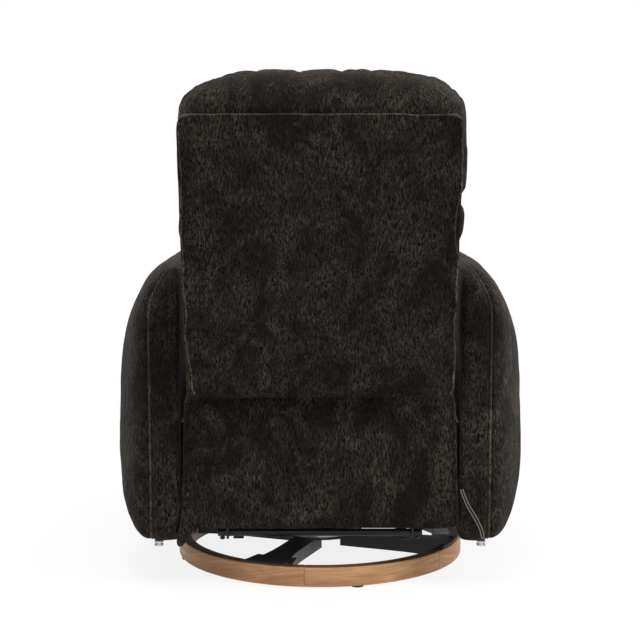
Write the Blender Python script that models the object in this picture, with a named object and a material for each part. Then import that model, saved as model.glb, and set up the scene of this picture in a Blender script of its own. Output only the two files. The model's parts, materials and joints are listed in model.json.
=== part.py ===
"""A swivel glider armchair with a reclining back and a pop-out footrest.

Metres, +Z up. The chair faces -Y and stands on the floor at z = 0. The origin is on
the floor, on the axis about which the chair swivels.
"""
import math

import bmesh
import bpy
from mathutils import Matrix, Vector

# Fits that serve the whole chair
GAP = 0.0003                 # between two faces that touch
PLAY = 0.0005                # between two plates that slide on each other
OVERRUN = 0.004              # how far a cutter runs past the face that it cuts
STEEL = 0.004                # plate of links, rails and stanchions
WOOD = 0.025                 # rails of the seat and the back

# Floor ring and its cross
RING_RADIUS = 0.287
RING_WIDTH = 0.025
RING_HEIGHT = 0.038
RING_EDGE = 0.004
PAD_RADIUS = 0.012
PAD_HEIGHT = 0.003
PAD_COUNT = 4
PAD_ANGLE = math.radians(105)
CROSS_ARMS = 4
CROSS_ANGLE = math.radians(69)
CROSS_SHEET = 0.003
CROSS_FLANGE = 0.025         # depth of an arm's turned-down sides
CROSS_ARM_WIDTH = 0.048
CROSS_FOOT_WIDTH = 0.100
CROSS_FOOT_LENGTH = 0.052    # of the foot that lies on the ring
CROSS_FOOT_INSET = 0.004     # from the ring's outer face
HUB_RADIUS = 0.085
HUB_SHARE = 0.62             # of the hub's radius, at which an arm begins under it
ARM_FLARE_POWER = 5

# Swivel
RACE_RADIUS = 0.080
RACE_SHEET = 0.004
BALL_RING_RADIUS = 0.057
BALL_RING_WIDTH = 0.012
BALL_RING_HEIGHT = 0.006
SWIVEL_BOLT_RADIUS = 0.008
SWIVEL_HEAD_RADIUS = 0.014
SWIVEL_HEAD_HEIGHT = 0.007

# Glide: a frame on the swivel, and two pairs of links that hang from it
GLIDE_FRAME_HALF_WIDTH = 0.170
GLIDE_FRAME_HALF_LENGTH = 0.140
GLIDE_RAIL_WIDTH = 0.020
GLIDE_RAIL_HEIGHT = 0.020
GLIDE_PLATE_HALF_LENGTH = 0.058
GLIDE_PIVOT_Y = 0.125
GLIDE_PIVOT_Z = 0.245
GLIDE_LINK_LENGTH = 0.140
STANCHION_WIDTH = 0.034
SWING_SHAFT_RADIUS = 0.007
SWING_COLLAR_RADIUS = 0.010
SWING_COLLAR_WIDTH = 0.003
SWING_EYE = 0.013
SWING_WAIST_SHARE = 0.72
CARRIAGE_PIN_RADIUS = 0.006

# Carriage that hangs in the links
CARRIAGE_FRONT = -0.206
CARRIAGE_REAR = 0.228
CARRIAGE_WEB = 0.030
CARRIAGE_FLANGE_FRONT = -0.160
CROSS_TUBE_RADIUS = 0.0075
CROSS_TUBE_BORE = 0.0055
CROSS_TUBE_DROP = 0.015      # tube axis under the links' lower pivots
CROSS_TUBE_REACH = 0.017     # past the carriage rails
CROSS_TUBE_INSET = 0.018     # from the rails' ends
TUBE_BOLT_RADIUS = 0.003
TUBE_BOLT_HANG = 0.006
TUBE_BOLT_HEAD = 0.005
TUBE_BOLT_NUT = 0.005

# Seat
ARM_SPACE = 0.262            # half the distance between the arms
SEAT_RAIL_TOP = 0.312
SIDE_RAIL_HEIGHT = 0.110
REAR_RAIL_HEIGHT = 0.160
FRONT_RAIL_HEIGHT = 0.024
SEAT_FRAME_FRONT = -0.342
SEAT_FRAME_REAR = 0.2525
SPRING_COUNT = 4
SPRING_WIRE = 0.0018
SPRING_PITCH = 0.105
SPRING_AMPLITUDE = 0.022
SPRING_WAVES = 7
SPRING_STEPS = 6             # points on one wave
SIDE_PLATE_NOSE_RISE = 0.068 # from the plate's lower edge to its front corner
PIN_HEAD_RIM = 0.002
CUSHION_FRONT = -0.388
CUSHION_REAR = 0.182
CUSHION_HEIGHT = 0.143
CUSHION_CROWN = 0.012
CUSHION_SIDE_ROOM = 0.004
CUSHION_DRAW = 0.006
LOWER_PANEL_THICKNESS = 0.027
LOWER_PANEL_BOTTOM = 0.114
LOWER_PANEL_TOP = 0.385
LOWER_PANEL_TAPER = 0.010

# Arms
ARM_FRONT = -0.386
ARM_REAR = 0.278
ARM_BOTTOM = 0.084
ARM_TOP = 0.606
ARM_SEAM = 0.3185            # half-width at which the outer panel begins
ARM_TOP_SEAM = 0.282
ARM_HALF_WIDTH = 0.400
ARM_LEAN = 0.010             # how far the outer side leans in at the top
ARM_REAR_TOP_RADIUS = 0.095
ARM_FRONT_TOP_RADIUS = 0.110
ARM_REAR_BOTTOM_RADIUS = 0.030
ARM_FRONT_BOTTOM_RADIUS = 0.050
ARM_SEAM_RISE = 0.085        # height below the top in which the seam turns inward
ARM_EDGE = 0.006
ARM_BOARD = 0.020
ARM_BOARD_DEPTH = 0.014      # padding between the inner face and the board
ARM_BOARD_MARGIN = 0.068     # padding before, behind and above the board
CLIP_WIDTH = 0.016
CLIP_DEPTH = 0.014
CLIP_HEIGHT = 0.009
CLIP_X = 0.306

# Back
BACK_LEAN = math.radians(11)
BACK_FOOT_Y = 0.303          # lower edge of the outside back
BACK_FOOT_Z = 0.373
PANEL_HEIGHT = 0.525
PANEL_THICKNESS = 0.008
PANEL_TOP_HALF_WIDTH = 0.2535
PANEL_TAPER = 0.006
PANEL_RIM = 0.002
PANEL_CORNER = 0.014
BACK_FRAME_HALF_WIDTH = 0.2270
BACK_FRAME_LOW = 0.095
BACK_FRAME_HIGH = 0.500
BACK_STILE = 0.034
BACK_RAIL = 0.040
BACK_RAILS = 4
HEAD_LOW = 0.355
HEAD_HIGH = 0.582
HEAD_HALF_WIDTH = 0.2625
HEAD_FRONT = 0.200
HEAD_SHOULDER = 0.056
MIDDLE_LOW = 0.191
MIDDLE_HALF_WIDTH = 0.2585
MIDDLE_FRONT = 0.186
LUMBAR_LOW = 0.068
LUMBAR_HALF_WIDTH = 0.257
LUMBAR_FRONT = 0.190
ROLL_PART = 0.002            # between two rolls of the back
ROLL_CROWN = 0.010
ROLL_CORNER = 9              # powers: a higher one makes a squarer form
ROLL_DOME = 3.2
HEAD_CORNER = 3.6
RECLINE_Y = 0.208
RECLINE_Z = 0.360
RECLINE_PIN_RADIUS = 0.006
RECLINE_EYE = 0.014
NECK_RADIUS = 0.087          # mean radius of the bracket's goose-neck
NECK_WIDTH = 0.015
NECK_START = math.radians(84)
NECK_END = math.radians(38)
BRACKET_HIGH = 0.280

# Footrest
FOOT_CENTRE_Y = -0.3395      # the point about which the footrest swings out
FOOT_CENTRE_Z = 0.4025
DRIVE_Y = -0.217
DRIVE_Z = 0.272
BOARD_PIVOT_Y = -0.327
BOARD_PIVOT_Z = 0.262
LINK_SPACING = 0.036
LINK_SPACING_ANGLE = math.radians(-40)
DRIVE_TAIL = 0.040
FOOT_LINK_EYE = 0.008
FOOT_PIN_RADIUS = 0.004
FOOT_PIN_HEAD_RADIUS = 0.006
FOOT_PIN_HEAD = 0.0015
TORQUE_TUBE_RADIUS = 0.008
BOARD_FACE_Y = -0.350
BOARD_THICKNESS = 0.015
BOARD_HALF_WIDTH = 0.245
BOARD_TOP = 0.298
BOARD_BOTTOM = 0.105
FOOT_PAD_THICKNESS = 0.045
FOOT_PAD_HALF_WIDTH = 0.255
FOOT_PAD_OVERHANG = 0.006
FOOT_PAD_CROWN = 0.008
FOOT_BRACKET_FLANGE = 0.012
FOOT_BRACKET_MARGIN = 0.016

# Tie cord on the rear of the right arm, from the seam beside the lower panel to the clip
CORD_RADIUS = 0.0010
CORD_OFF = 0.0006
CORD_POINTS = 36
CORD_ROUTE = (
    (-0.2630, 0.190), (-0.2680, 0.176), (-0.2760, 0.157), (-0.2860, 0.140),
    (-0.2960, 0.122), (-0.3010, 0.110), (-0.3035, 0.1000), (-0.3060, 0.0960),
    (-0.3085, 0.1000), (-0.3050, 0.114), (-0.2985, 0.128), (-0.2905, 0.143),
    (-0.2800, 0.160), (-0.2720, 0.178), (-0.2675, 0.191),
)

# Colours as (red, green, blue), roughness and metallic value
PALE_WOOD = ((0.60, 0.40, 0.24), 0.55, 0.0)
FRAME_WOOD = ((0.62, 0.47, 0.30), 0.70, 0.0)
BLACK_STEEL = ((0.020, 0.020, 0.022), 0.42, 0.85)
ZINC = ((0.55, 0.56, 0.58), 0.35, 0.95)
SPRING_STEEL = ((0.12, 0.12, 0.13), 0.35, 0.90)
CHARCOAL = ((0.022, 0.020, 0.019), 0.95, 0.0)
LINING = ((0.015, 0.015, 0.016), 0.90, 0.0)
CLEAR_PLASTIC = ((0.60, 0.61, 0.62), 0.30, 0.0)
BLACK_PLASTIC = ((0.03, 0.03, 0.03), 0.50, 0.0)
CORD_GREY = ((0.10, 0.10, 0.10), 0.80, 0.0)

ROUND = 12                   # sides of a small round piece
DISC = 28                    # sides of a disc of the swivel
RING_STEPS = 64              # sides of the floor ring
SAME_POINT_SHARE = 0.01      # of a wire's radius, within which two points are one
SIDES = (("left", 1), ("right", -1))


def clear_scene():
    for item in list(bpy.data.objects):
        bpy.data.objects.remove(item, do_unlink=True)


def material(name, finish):
    colour, roughness, metallic = finish
    made = bpy.data.materials.new(name)
    made.use_nodes = True
    shader = made.node_tree.nodes["Principled BSDF"]
    shader.inputs["Base Color"].default_value = (*colour, 1.0)
    shader.inputs["Roughness"].default_value = roughness
    shader.inputs["Metallic"].default_value = metallic
    made.diffuse_color = (*colour, 1.0)
    return made


def place(name, mesh, finish, origin=None, smooth=30):
    """Link a mesh, given in world coordinates, with its origin on its joint's axis."""
    item = bpy.data.objects.new(name, mesh)
    bpy.context.collection.objects.link(item)
    mesh.materials.clear()
    mesh.materials.append(material(name, finish))
    if origin:
        mesh.transform(Matrix.Translation(-Vector(origin)))
        item.location = origin
    mesh.shade_smooth()
    mesh.set_sharp_from_angle(angle=math.radians(smooth))
    return item


def mesh_from(name, points, faces):
    mesh = bpy.data.meshes.new(name)
    mesh.from_pydata([tuple(p) for p in points], [], faces)
    work = bmesh.new()
    work.from_mesh(mesh)
    bmesh.ops.recalc_face_normals(work, faces=work.faces)
    work.to_mesh(mesh)
    work.free()
    return mesh


def combine(mesh, tool, operation):
    """One Boolean of two meshes; the first is changed and the second used up."""
    body = bpy.data.objects.new("body", mesh)
    other = bpy.data.objects.new("tool", tool)
    for item in (body, other):
        bpy.context.collection.objects.link(item)
    step = body.modifiers.new("step", "BOOLEAN")
    step.operation = operation
    step.solver = "EXACT"
    step.object = other
    bpy.context.view_layer.update()
    view = bpy.context.evaluated_depsgraph_get()
    result = bpy.data.meshes.new_from_object(body.evaluated_get(view))
    for item in (body, other):
        bpy.data.objects.remove(item, do_unlink=True)
    return result


def cut(mesh, *tools):
    for tool in tools:
        mesh = combine(mesh, tool, "DIFFERENCE")
    return mesh


def weld(mesh, *tools):
    for tool in tools:
        mesh = combine(mesh, tool, "UNION")
    return mesh


def lay(axis, a, b, along):
    """A point of an outline (a, b) at a distance along its axis."""
    if axis == "X":
        return Vector((along, a, b))
    if axis == "Y":
        return Vector((a, along, b))
    return Vector((a, b, along))


def prism(outline, low, high, axis):
    """An outline drawn out along an axis from low to high."""
    count = len(outline)
    points = [lay(axis, a, b, low) for a, b in outline]
    points += [lay(axis, a, b, high) for a, b in outline]
    faces = [list(range(count)), list(range(count, 2 * count))]
    for i in range(count):
        j = (i + 1) % count
        faces.append([i, j, count + j, count + i])
    return mesh_from("prism", points, faces)


def box(low, high):
    outline = ((low[0], low[1]), (high[0], low[1]), (high[0], high[1]), (low[0], high[1]))
    return prism(outline, low[2], high[2], "Z")


def circle(centre, radius, count=ROUND):
    return [(centre[0] + radius * math.cos(math.tau * i / count),
             centre[1] + radius * math.sin(math.tau * i / count)) for i in range(count)]


def rod(centre, radius, low, high, axis, count=ROUND):
    return prism(circle(centre, radius, count), low, high, axis)


def turn(profile, axis, centre, count):
    """A closed profile of (radius, distance along the axis) turned about the axis."""
    points = []
    for i in range(count):
        angle = math.tau * i / count
        for radius, along in profile:
            points.append(lay(axis, centre[0] + radius * math.cos(angle),
                              centre[1] + radius * math.sin(angle), along))
    size = len(profile)
    faces = []
    for i in range(count):
        for j in range(size):
            k = (j + 1) % size
            n = (i + 1) % count
            faces.append([i * size + j, i * size + k, n * size + k, n * size + j])
    return mesh_from("turned", points, faces)


def rounded(corners, steps=5):
    """An outline through corners (a, b, radius), each corner an arc of its radius."""
    outline = []
    count = len(corners)
    for i, (a, b, radius) in enumerate(corners):
        here = Vector((a, b))
        back = (Vector(corners[i - 1][:2]) - here).normalized()
        ahead = (Vector(corners[(i + 1) % count][:2]) - here).normalized()
        half = back.angle(ahead) / 2
        if radius == 0:
            outline.append((a, b))
            continue
        middle = here + (back + ahead).normalized() * (radius / math.sin(half))
        start = here + back * (radius / math.tan(half)) - middle
        sweep = start.angle_signed(here + ahead * (radius / math.tan(half)) - middle)
        for k in range(steps + 1):
            arm = start.copy()
            arm.rotate(Matrix.Rotation(-sweep * k / steps, 2))
            outline.append(tuple(middle + arm))
    return outline


def wrap(circles, count=ROUND):
    """The outline of a band drawn tight round circles (a, b, radius)."""
    points = sorted({p for a, b, radius in circles for p in circle((a, b), radius, count)})

    def chain(order):
        line = []
        for p in order:
            while len(line) > 1 and ((line[-1][0] - line[-2][0]) * (p[1] - line[-2][1])
                                     - (line[-1][1] - line[-2][1]) * (p[0] - line[-2][0])) <= 0:
                line.pop()
            line.append(p)
        return line[:-1]

    return chain(points) + chain(reversed(points))


def bone(start, end, start_radius, end_radius, waist, count=8):
    """The outline of a strip of half-width waist with a round eye at each end."""
    a, b = Vector(start), Vector(end)
    outline = []
    for centre, radius, ahead in ((a, start_radius, b - a), (b, end_radius, a - b)):
        heading = math.atan2(ahead.y, ahead.x)
        open_angle = math.asin(waist / radius)
        for i in range(count + 1):
            angle = heading + open_angle + (math.tau - 2 * open_angle) * i / count
            outline.append(tuple(centre + radius * Vector((math.cos(angle), math.sin(angle)))))
    return outline


def loft(rings, close_ends=True):
    """Rings of equally many points joined in order, with flat ends."""
    size = len(rings[0])
    points = [p for ring in rings for p in ring]
    faces = []
    for r in range(len(rings) - 1):
        for i in range(size):
            j = (i + 1) % size
            faces.append([r * size + i, r * size + j, (r + 1) * size + j, (r + 1) * size + i])
    if close_ends:
        faces.append(list(range(size)))
        faces.append(list(range((len(rings) - 1) * size, len(rings) * size)))
    return mesh_from("loft", points, faces)


def pipe(route, radius, resolution):
    """A round wire along a list of points, with filled ends."""
    curve = bpy.data.curves.new("pipe", "CURVE")
    curve.dimensions = "3D"
    curve.bevel_depth = radius
    curve.bevel_resolution = resolution
    curve.use_fill_caps = True
    line = curve.splines.new("POLY")
    line.points.add(len(route) - 1)
    for spot, point in zip(line.points, route):
        spot.co = (*point, 1.0)
    item = bpy.data.objects.new("pipe", curve)
    bpy.context.collection.objects.link(item)
    bpy.context.view_layer.update()
    view = bpy.context.evaluated_depsgraph_get()
    mesh = bpy.data.meshes.new_from_object(item.evaluated_get(view))
    bpy.data.objects.remove(item, do_unlink=True)
    work = bmesh.new()
    work.from_mesh(mesh)
    bmesh.ops.remove_doubles(work, verts=work.verts, dist=radius * SAME_POINT_SHARE)
    bmesh.ops.recalc_face_normals(work, faces=work.faces)
    work.to_mesh(mesh)
    work.free()
    return mesh


def pillow(half, divisions, corner, dome, shape):
    """A cushion about the origin: flat below, domed above. corner and dome are the powers
    of its outline and of its dome. shape(u, v, w, point) bends and places its surface;
    u, v and w run from -1 to 1 across the cushion."""
    index = {}
    points = []
    faces = []

    def spot(cell):
        if cell not in index:
            u, v, w = (2 * c / d - 1 for c, d in zip(cell, divisions))
            power = corner(u, v)
            reach = (abs(u) ** power + abs(v) ** power) ** (1 / power)
            if w > 0:
                pull = (reach ** dome + w ** dome) ** (-1 / dome)
                point = Vector((half[0] * u * pull, half[1] * v * pull, half[2] * w * pull))
            else:
                pull = 1 / max(1, reach)
                point = Vector((half[0] * u * pull, half[1] * v * pull, half[2] * w))
            index[cell] = len(points)
            points.append(shape(u, v, w, point))
        return index[cell]

    for fixed in range(3):
        first, second = [k for k in range(3) if k != fixed]
        for side in (0, divisions[fixed]):
            for i in range(divisions[first]):
                for j in range(divisions[second]):
                    corners = []
                    for di, dj in ((0, 0), (1, 0), (1, 1), (0, 1)):
                        cell = [0, 0, 0]
                        cell[fixed] = side
                        cell[first] = i + di
                        cell[second] = j + dj
                        corners.append(spot(tuple(cell)))
                    faces.append(corners)
    return mesh_from("pillow", points, faces)


def even(power):
    return lambda u, v: power


def padded_panel(outline, near, far, edge, put):
    """A thin padded panel: an outline with rounded rims and a slight crown on the far side.
    put(a, b, depth) places a point of it."""
    middle = (sum(p[0] for p in outline) / len(outline), sum(p[1] for p in outline) / len(outline))
    reach = max(abs(p[0] - middle[0]) for p in outline)
    rings = []
    for inset, depth in ((edge, near), (0, near + edge), (0, far - 2 * edge), (edge, far - edge / 2),
                         (reach / 3, far)):
        share = 1 - inset / reach
        rings.append([put(middle[0] + (a - middle[0]) * share, middle[1] + (b - middle[1]) * share, depth)
                      for a, b in outline])
    return loft(rings)


def smooth_route(route, count):
    """Evenly many points on a smooth curve through a route's own points."""
    spots = [Vector(p) for p in route]
    spots = [2 * spots[0] - spots[1]] + spots + [2 * spots[-1] - spots[-2]]
    spans = len(spots) - 3
    result = []
    for i in range(count):
        place_on = spans * i / (count - 1)
        k = min(int(place_on), spans - 1)
        t = place_on - k
        a, b, c, d = spots[k:k + 4]
        result.append(((2 * b) + (c - a) * t + (2 * a - 5 * b + 4 * c - d) * t * t
                       + (3 * b - 3 * c + d - a) * t * t * t) / 2)
    return result


def polar(radius, angle):
    return radius * math.cos(angle), radius * math.sin(angle)


def spin(mesh, angle):
    mesh.transform(Matrix.Rotation(angle, 4, "Z"))
    return mesh


def span(side, low, high):
    """Two distances from the middle plane as x values on one side, in rising order."""
    return sorted((side * low, side * high))


# Floor ring, cross and swivel

RING_LOW = PAD_HEIGHT
RING_HIGH = RING_LOW + RING_HEIGHT
RING_INNER = RING_RADIUS - RING_WIDTH


def base_ring():
    profile = rounded([(RING_INNER, RING_LOW, RING_EDGE / 2), (RING_RADIUS, RING_LOW, RING_EDGE / 2),
                       (RING_RADIUS, RING_HIGH, RING_EDGE), (RING_INNER, RING_HIGH, RING_EDGE)], 1)
    place("base_ring", turn(profile, "Z", (0, 0), RING_STEPS), PALE_WOOD)


def floor_pads():
    radius = RING_RADIUS - RING_WIDTH / 2
    for i in range(PAD_COUNT):
        centre = polar(radius, PAD_ANGLE + math.tau * i / PAD_COUNT)
        place(f"floor_pad_{i + 1}", rod(centre, PAD_RADIUS, 0, PAD_HEIGHT - GAP, "Z"), BLACK_PLASTIC)


CROSS_LOW = RING_HIGH + GAP
CROSS_TOP = CROSS_LOW + CROSS_SHEET


def channel(r, half):
    """The section of a cross arm at radius r: a sheet with both sides turned down."""
    inner = half - CROSS_SHEET
    foot = CROSS_TOP - CROSS_FLANGE
    return [Vector((r, y, z)) for y, z in (
        (-half, foot), (-half, CROSS_TOP), (half, CROSS_TOP), (half, foot),
        (inner, foot), (inner, CROSS_LOW), (-inner, CROSS_LOW), (-inner, foot))]


def base_cross():
    """Four channels under one hub. Their feet lie on the ring."""
    cross = rod((0, 0), HUB_RADIUS, CROSS_LOW, CROSS_TOP, "Z", DISC)
    waist = CROSS_ARM_WIDTH / 2
    widest = (CROSS_ARM_WIDTH + CROSS_FOOT_WIDTH) / 4
    reach = math.sqrt((RING_INNER - GAP) ** 2 - widest ** 2) - CROSS_SHEET / 2
    foot_outer = RING_RADIUS - CROSS_FOOT_INSET
    foot_inner = foot_outer - CROSS_FOOT_LENGTH
    half_angle = math.asin(CROSS_FOOT_WIDTH / 2 / foot_outer)
    steps = 5
    for k in range(CROSS_ARMS):
        angle = CROSS_ANGLE + math.tau * k / CROSS_ARMS
        rings = [channel(HUB_SHARE * HUB_RADIUS, waist)]
        for i in range(steps + 1):
            part = i / steps
            half = waist + (widest - waist) * part ** ARM_FLARE_POWER
            rings.append(channel(HUB_RADIUS + (reach - HUB_RADIUS) * part, half))
        outline = []
        for radius, order in ((foot_outer, 1), (foot_inner, -1)):
            for j in range(steps + 1):
                outline.append(polar(radius, order * half_angle * (2 * j / steps - 1)))
        foot = prism(outline, CROSS_LOW, CROSS_TOP, "Z")
        cross = weld(cross, spin(loft(rings), angle), spin(foot, angle))
    hole = SWIVEL_BOLT_RADIUS + GAP
    cross = cut(cross, rod((0, 0), hole, CROSS_LOW - OVERRUN, CROSS_TOP + OVERRUN, "Z"))
    place("base_cross", cross, BLACK_STEEL)


RACE_LOW = CROSS_TOP + GAP
BALL_LOW = RACE_LOW + RACE_SHEET + GAP
TOP_RACE_LOW = BALL_LOW + BALL_RING_HEIGHT + GAP
GLIDE_LOW = TOP_RACE_LOW + RACE_SHEET + GAP


def race(name, low):
    hole = SWIVEL_BOLT_RADIUS + GAP
    profile = ((hole, low), (RACE_RADIUS, low), (RACE_RADIUS, low + RACE_SHEET), (hole, low + RACE_SHEET))
    place(name, turn(profile, "Z", (0, 0), DISC), ZINC)


def swivel():
    race("swivel_race_lower", RACE_LOW)
    inner = BALL_RING_RADIUS - BALL_RING_WIDTH
    high = BALL_LOW + BALL_RING_HEIGHT
    edge = BALL_RING_HEIGHT / 4
    profile = ((inner, BALL_LOW), (BALL_RING_RADIUS, BALL_LOW), (BALL_RING_RADIUS + edge, BALL_LOW + edge),
               (BALL_RING_RADIUS + edge, high - edge), (BALL_RING_RADIUS, high), (inner, high))
    place("swivel_ball_ring", turn(profile, "Z", (0, 0), DISC), ZINC)
    race("swivel_race_upper", TOP_RACE_LOW)
    bolt = rod((0, 0), SWIVEL_BOLT_RADIUS, CROSS_LOW - SWIVEL_HEAD_HEIGHT,
               GLIDE_LOW + SWIVEL_HEAD_HEIGHT, "Z")
    under = rod((0, 0), SWIVEL_HEAD_RADIUS, CROSS_LOW - GAP - SWIVEL_HEAD_HEIGHT,
                CROSS_LOW - GAP, "Z", 6)
    over = rod((0, 0), SWIVEL_HEAD_RADIUS, GLIDE_LOW, GLIDE_LOW + SWIVEL_HEAD_HEIGHT, "Z", 6)
    place("swivel_bolt", weld(bolt, under, over), ZINC)


# Glide frame, swing links and carriage

GLIDE_INNER = GLIDE_FRAME_HALF_WIDTH - GLIDE_RAIL_WIDTH
LINK_INNER = GLIDE_FRAME_HALF_WIDTH + PLAY
LINK_OUTER = LINK_INNER + STEEL
WEB_INNER = LINK_OUTER + PLAY
WEB_OUTER = WEB_INNER + STEEL
LOWER_PIVOT_Z = GLIDE_PIVOT_Z - GLIDE_LINK_LENGTH
CARRIAGE_ORIGIN = (0, -GLIDE_PIVOT_Y, LOWER_PIVOT_Z)


def glide_frame():
    plate = box((-GLIDE_INNER - OVERRUN, -GLIDE_PLATE_HALF_LENGTH, GLIDE_LOW),
                (GLIDE_INNER + OVERRUN, GLIDE_PLATE_HALF_LENGTH, GLIDE_LOW + STEEL))
    for side, sign in SIDES:
        a, b = span(sign, GLIDE_INNER, GLIDE_FRAME_HALF_WIDTH)
        rail = box((a, -GLIDE_FRAME_HALF_LENGTH, GLIDE_LOW),
                   (b, GLIDE_FRAME_HALF_LENGTH, GLIDE_LOW + GLIDE_RAIL_HEIGHT))
        plate = weld(plate, rail)
        for y in (-GLIDE_PIVOT_Y, GLIDE_PIVOT_Y):
            c, d = span(sign, GLIDE_FRAME_HALF_WIDTH - STEEL, GLIDE_FRAME_HALF_WIDTH)
            foot = GLIDE_LOW + GLIDE_RAIL_HEIGHT / 2
            half = STANCHION_WIDTH / 2
            top = half * SWING_WAIST_SHARE
            head = wrap([(y, GLIDE_PIVOT_Z, top), (y - half, foot, GAP), (y + half, foot, GAP)])
            post = prism(head, c, d, "X")
            hole = rod((y, GLIDE_PIVOT_Z), SWING_SHAFT_RADIUS + GAP, c - OVERRUN, d + OVERRUN, "X")
            plate = weld(plate, cut(post, hole))
    opening = rod((0, 0), SWIVEL_HEAD_RADIUS + OVERRUN, GLIDE_LOW - OVERRUN,
                  GLIDE_LOW + STEEL + OVERRUN, "Z", ROUND)
    place("glide_frame", cut(plate, opening), BLACK_STEEL)


def swing_links():
    low_hole = CARRIAGE_PIN_RADIUS + GAP
    high_hole = SWING_SHAFT_RADIUS + GAP
    for end, y in (("front", -GLIDE_PIVOT_Y), ("rear", GLIDE_PIVOT_Y)):
        origin = (0, y, GLIDE_PIVOT_Z)
        for side, sign in SIDES:
            a, b = span(sign, LINK_INNER, LINK_OUTER)
            waist = SWING_EYE * SWING_WAIST_SHARE
            link = prism(bone((y, GLIDE_PIVOT_Z), (y, LOWER_PIVOT_Z), SWING_EYE, SWING_EYE, waist), a, b, "X")
            link = cut(link, rod((y, GLIDE_PIVOT_Z), high_hole, a - OVERRUN, b + OVERRUN, "X"),
                       rod((y, LOWER_PIVOT_Z), low_hole, a - OVERRUN, b + OVERRUN, "X"))
            place(f"swing_link_{end}_{side}", link, BLACK_STEEL, origin)
        reach = LINK_OUTER + GAP
        collar = reach + SWING_COLLAR_WIDTH
        shaft = rod((y, GLIDE_PIVOT_Z), SWING_SHAFT_RADIUS, -collar, collar, "X")
        for side, sign in SIDES:
            a, b = span(sign, reach, collar)
            shaft = weld(shaft, rod((y, GLIDE_PIVOT_Z), SWING_COLLAR_RADIUS, a, b, "X"))
        place(f"swing_shaft_{end}", shaft, ZINC, origin)


TUBE_Z = LOWER_PIVOT_Z - CROSS_TUBE_DROP
TUBE_REAR_Y = CARRIAGE_REAR - CROSS_TUBE_INSET
TUBE_FRONT_Y = CARRIAGE_FRONT + CROSS_TUBE_INSET
TUBE_REACH = WEB_OUTER + CROSS_TUBE_REACH


def carriage_rails():
    low = LOWER_PIVOT_Z - SWING_EYE
    high = low + CARRIAGE_WEB
    ear = CROSS_TUBE_RADIUS + STEEL
    drop = TUBE_Z - ear
    bore = CROSS_TUBE_RADIUS + GAP
    flange_reach = PLATE_INNER - GAP
    for side, sign in SIDES:
        a, b = span(sign, WEB_INNER, WEB_OUTER)
        web = prism(rounded([(CARRIAGE_FRONT, drop, ear), (TUBE_FRONT_Y + 2 * ear, drop, ear),
                             (TUBE_FRONT_Y + 3 * ear, low, ear), (TUBE_REAR_Y - 3 * ear, low, ear),
                             (TUBE_REAR_Y - 2 * ear, drop, ear), (CARRIAGE_REAR, drop, ear),
                             (CARRIAGE_REAR, high, STEEL), (CARRIAGE_FRONT, high, STEEL)], 3), a, b, "X")
        for y in (TUBE_FRONT_Y, TUBE_REAR_Y):
            web = cut(web, rod((y, TUBE_Z), bore, a - OVERRUN, b + OVERRUN, "X"))
        c, d = span(sign, WEB_INNER + STEEL / 2, flange_reach)
        lip = high - STEEL / 4
        web = weld(web, box((c, CARRIAGE_FLANGE_FRONT, lip - STEEL), (d, CARRIAGE_REAR - STEEL, lip)))
        for y in (-GLIDE_PIVOT_Y, GLIDE_PIVOT_Y):
            e, f = span(sign, GLIDE_FRAME_HALF_WIDTH + GAP, WEB_INNER + STEEL / 2)
            web = weld(web, rod((y, LOWER_PIVOT_Z), CARRIAGE_PIN_RADIUS, e, f, "X"))
        place(f"carriage_rail_{side}", web, BLACK_STEEL, CARRIAGE_ORIGIN)


def cross_tubes():
    for end, y in (("front", TUBE_FRONT_Y), ("rear", TUBE_REAR_Y)):
        tube = rod((y, TUBE_Z), CROSS_TUBE_RADIUS, -TUBE_REACH, TUBE_REACH, "X")
        if end == "rear":
            for side, sign in SIDES:
                x = sign * (TUBE_REACH + WEB_OUTER) / 2
                tip = TUBE_Z - CROSS_TUBE_RADIUS - TUBE_BOLT_HANG
                stem = rod((x, y), TUBE_BOLT_RADIUS, tip, TUBE_Z, "Z", 8)
                nut = rod((x, y), TUBE_BOLT_HEAD, tip + TUBE_BOLT_NUT / 4, tip + TUBE_BOLT_NUT, "Z", 6)
                tube = weld(tube, weld(stem, nut))
        for side, sign in SIDES:
            a, b = span(sign, TUBE_REACH - CROSS_TUBE_REACH / 2, TUBE_REACH + OVERRUN)
            tube = cut(tube, rod((y, TUBE_Z), CROSS_TUBE_BORE, a, b, "X", 12)) if end == "front" else tube
        place(f"{end}_cross_tube", tube, BLACK_STEEL, CARRIAGE_ORIGIN)


# Seat

RAIL_OUTER = ARM_SPACE - GAP
RAIL_INNER = RAIL_OUTER - WOOD
PLATE_OUTER = RAIL_INNER - GAP
PLATE_INNER = PLATE_OUTER - STEEL
FIRST_OUTER = PLATE_INNER - PLAY         # first layer of moving plates
FIRST_INNER = FIRST_OUTER - STEEL
SECOND_OUTER = FIRST_INNER - PLAY        # second layer
SECOND_INNER = SECOND_OUTER - STEEL
RECLINE = (RECLINE_Y, RECLINE_Z)
DRIVE = Vector((DRIVE_Y, DRIVE_Z))
STABILISER = DRIVE + Vector(polar(LINK_SPACING, LINK_SPACING_ANGLE))
REAR_RAIL_FRONT = SEAT_FRAME_REAR - WOOD


EYE_CORNER_SHARE = 0.9
SIDE_HOLE_SHARES = (0.20, 0.52, 0.83)


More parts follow.
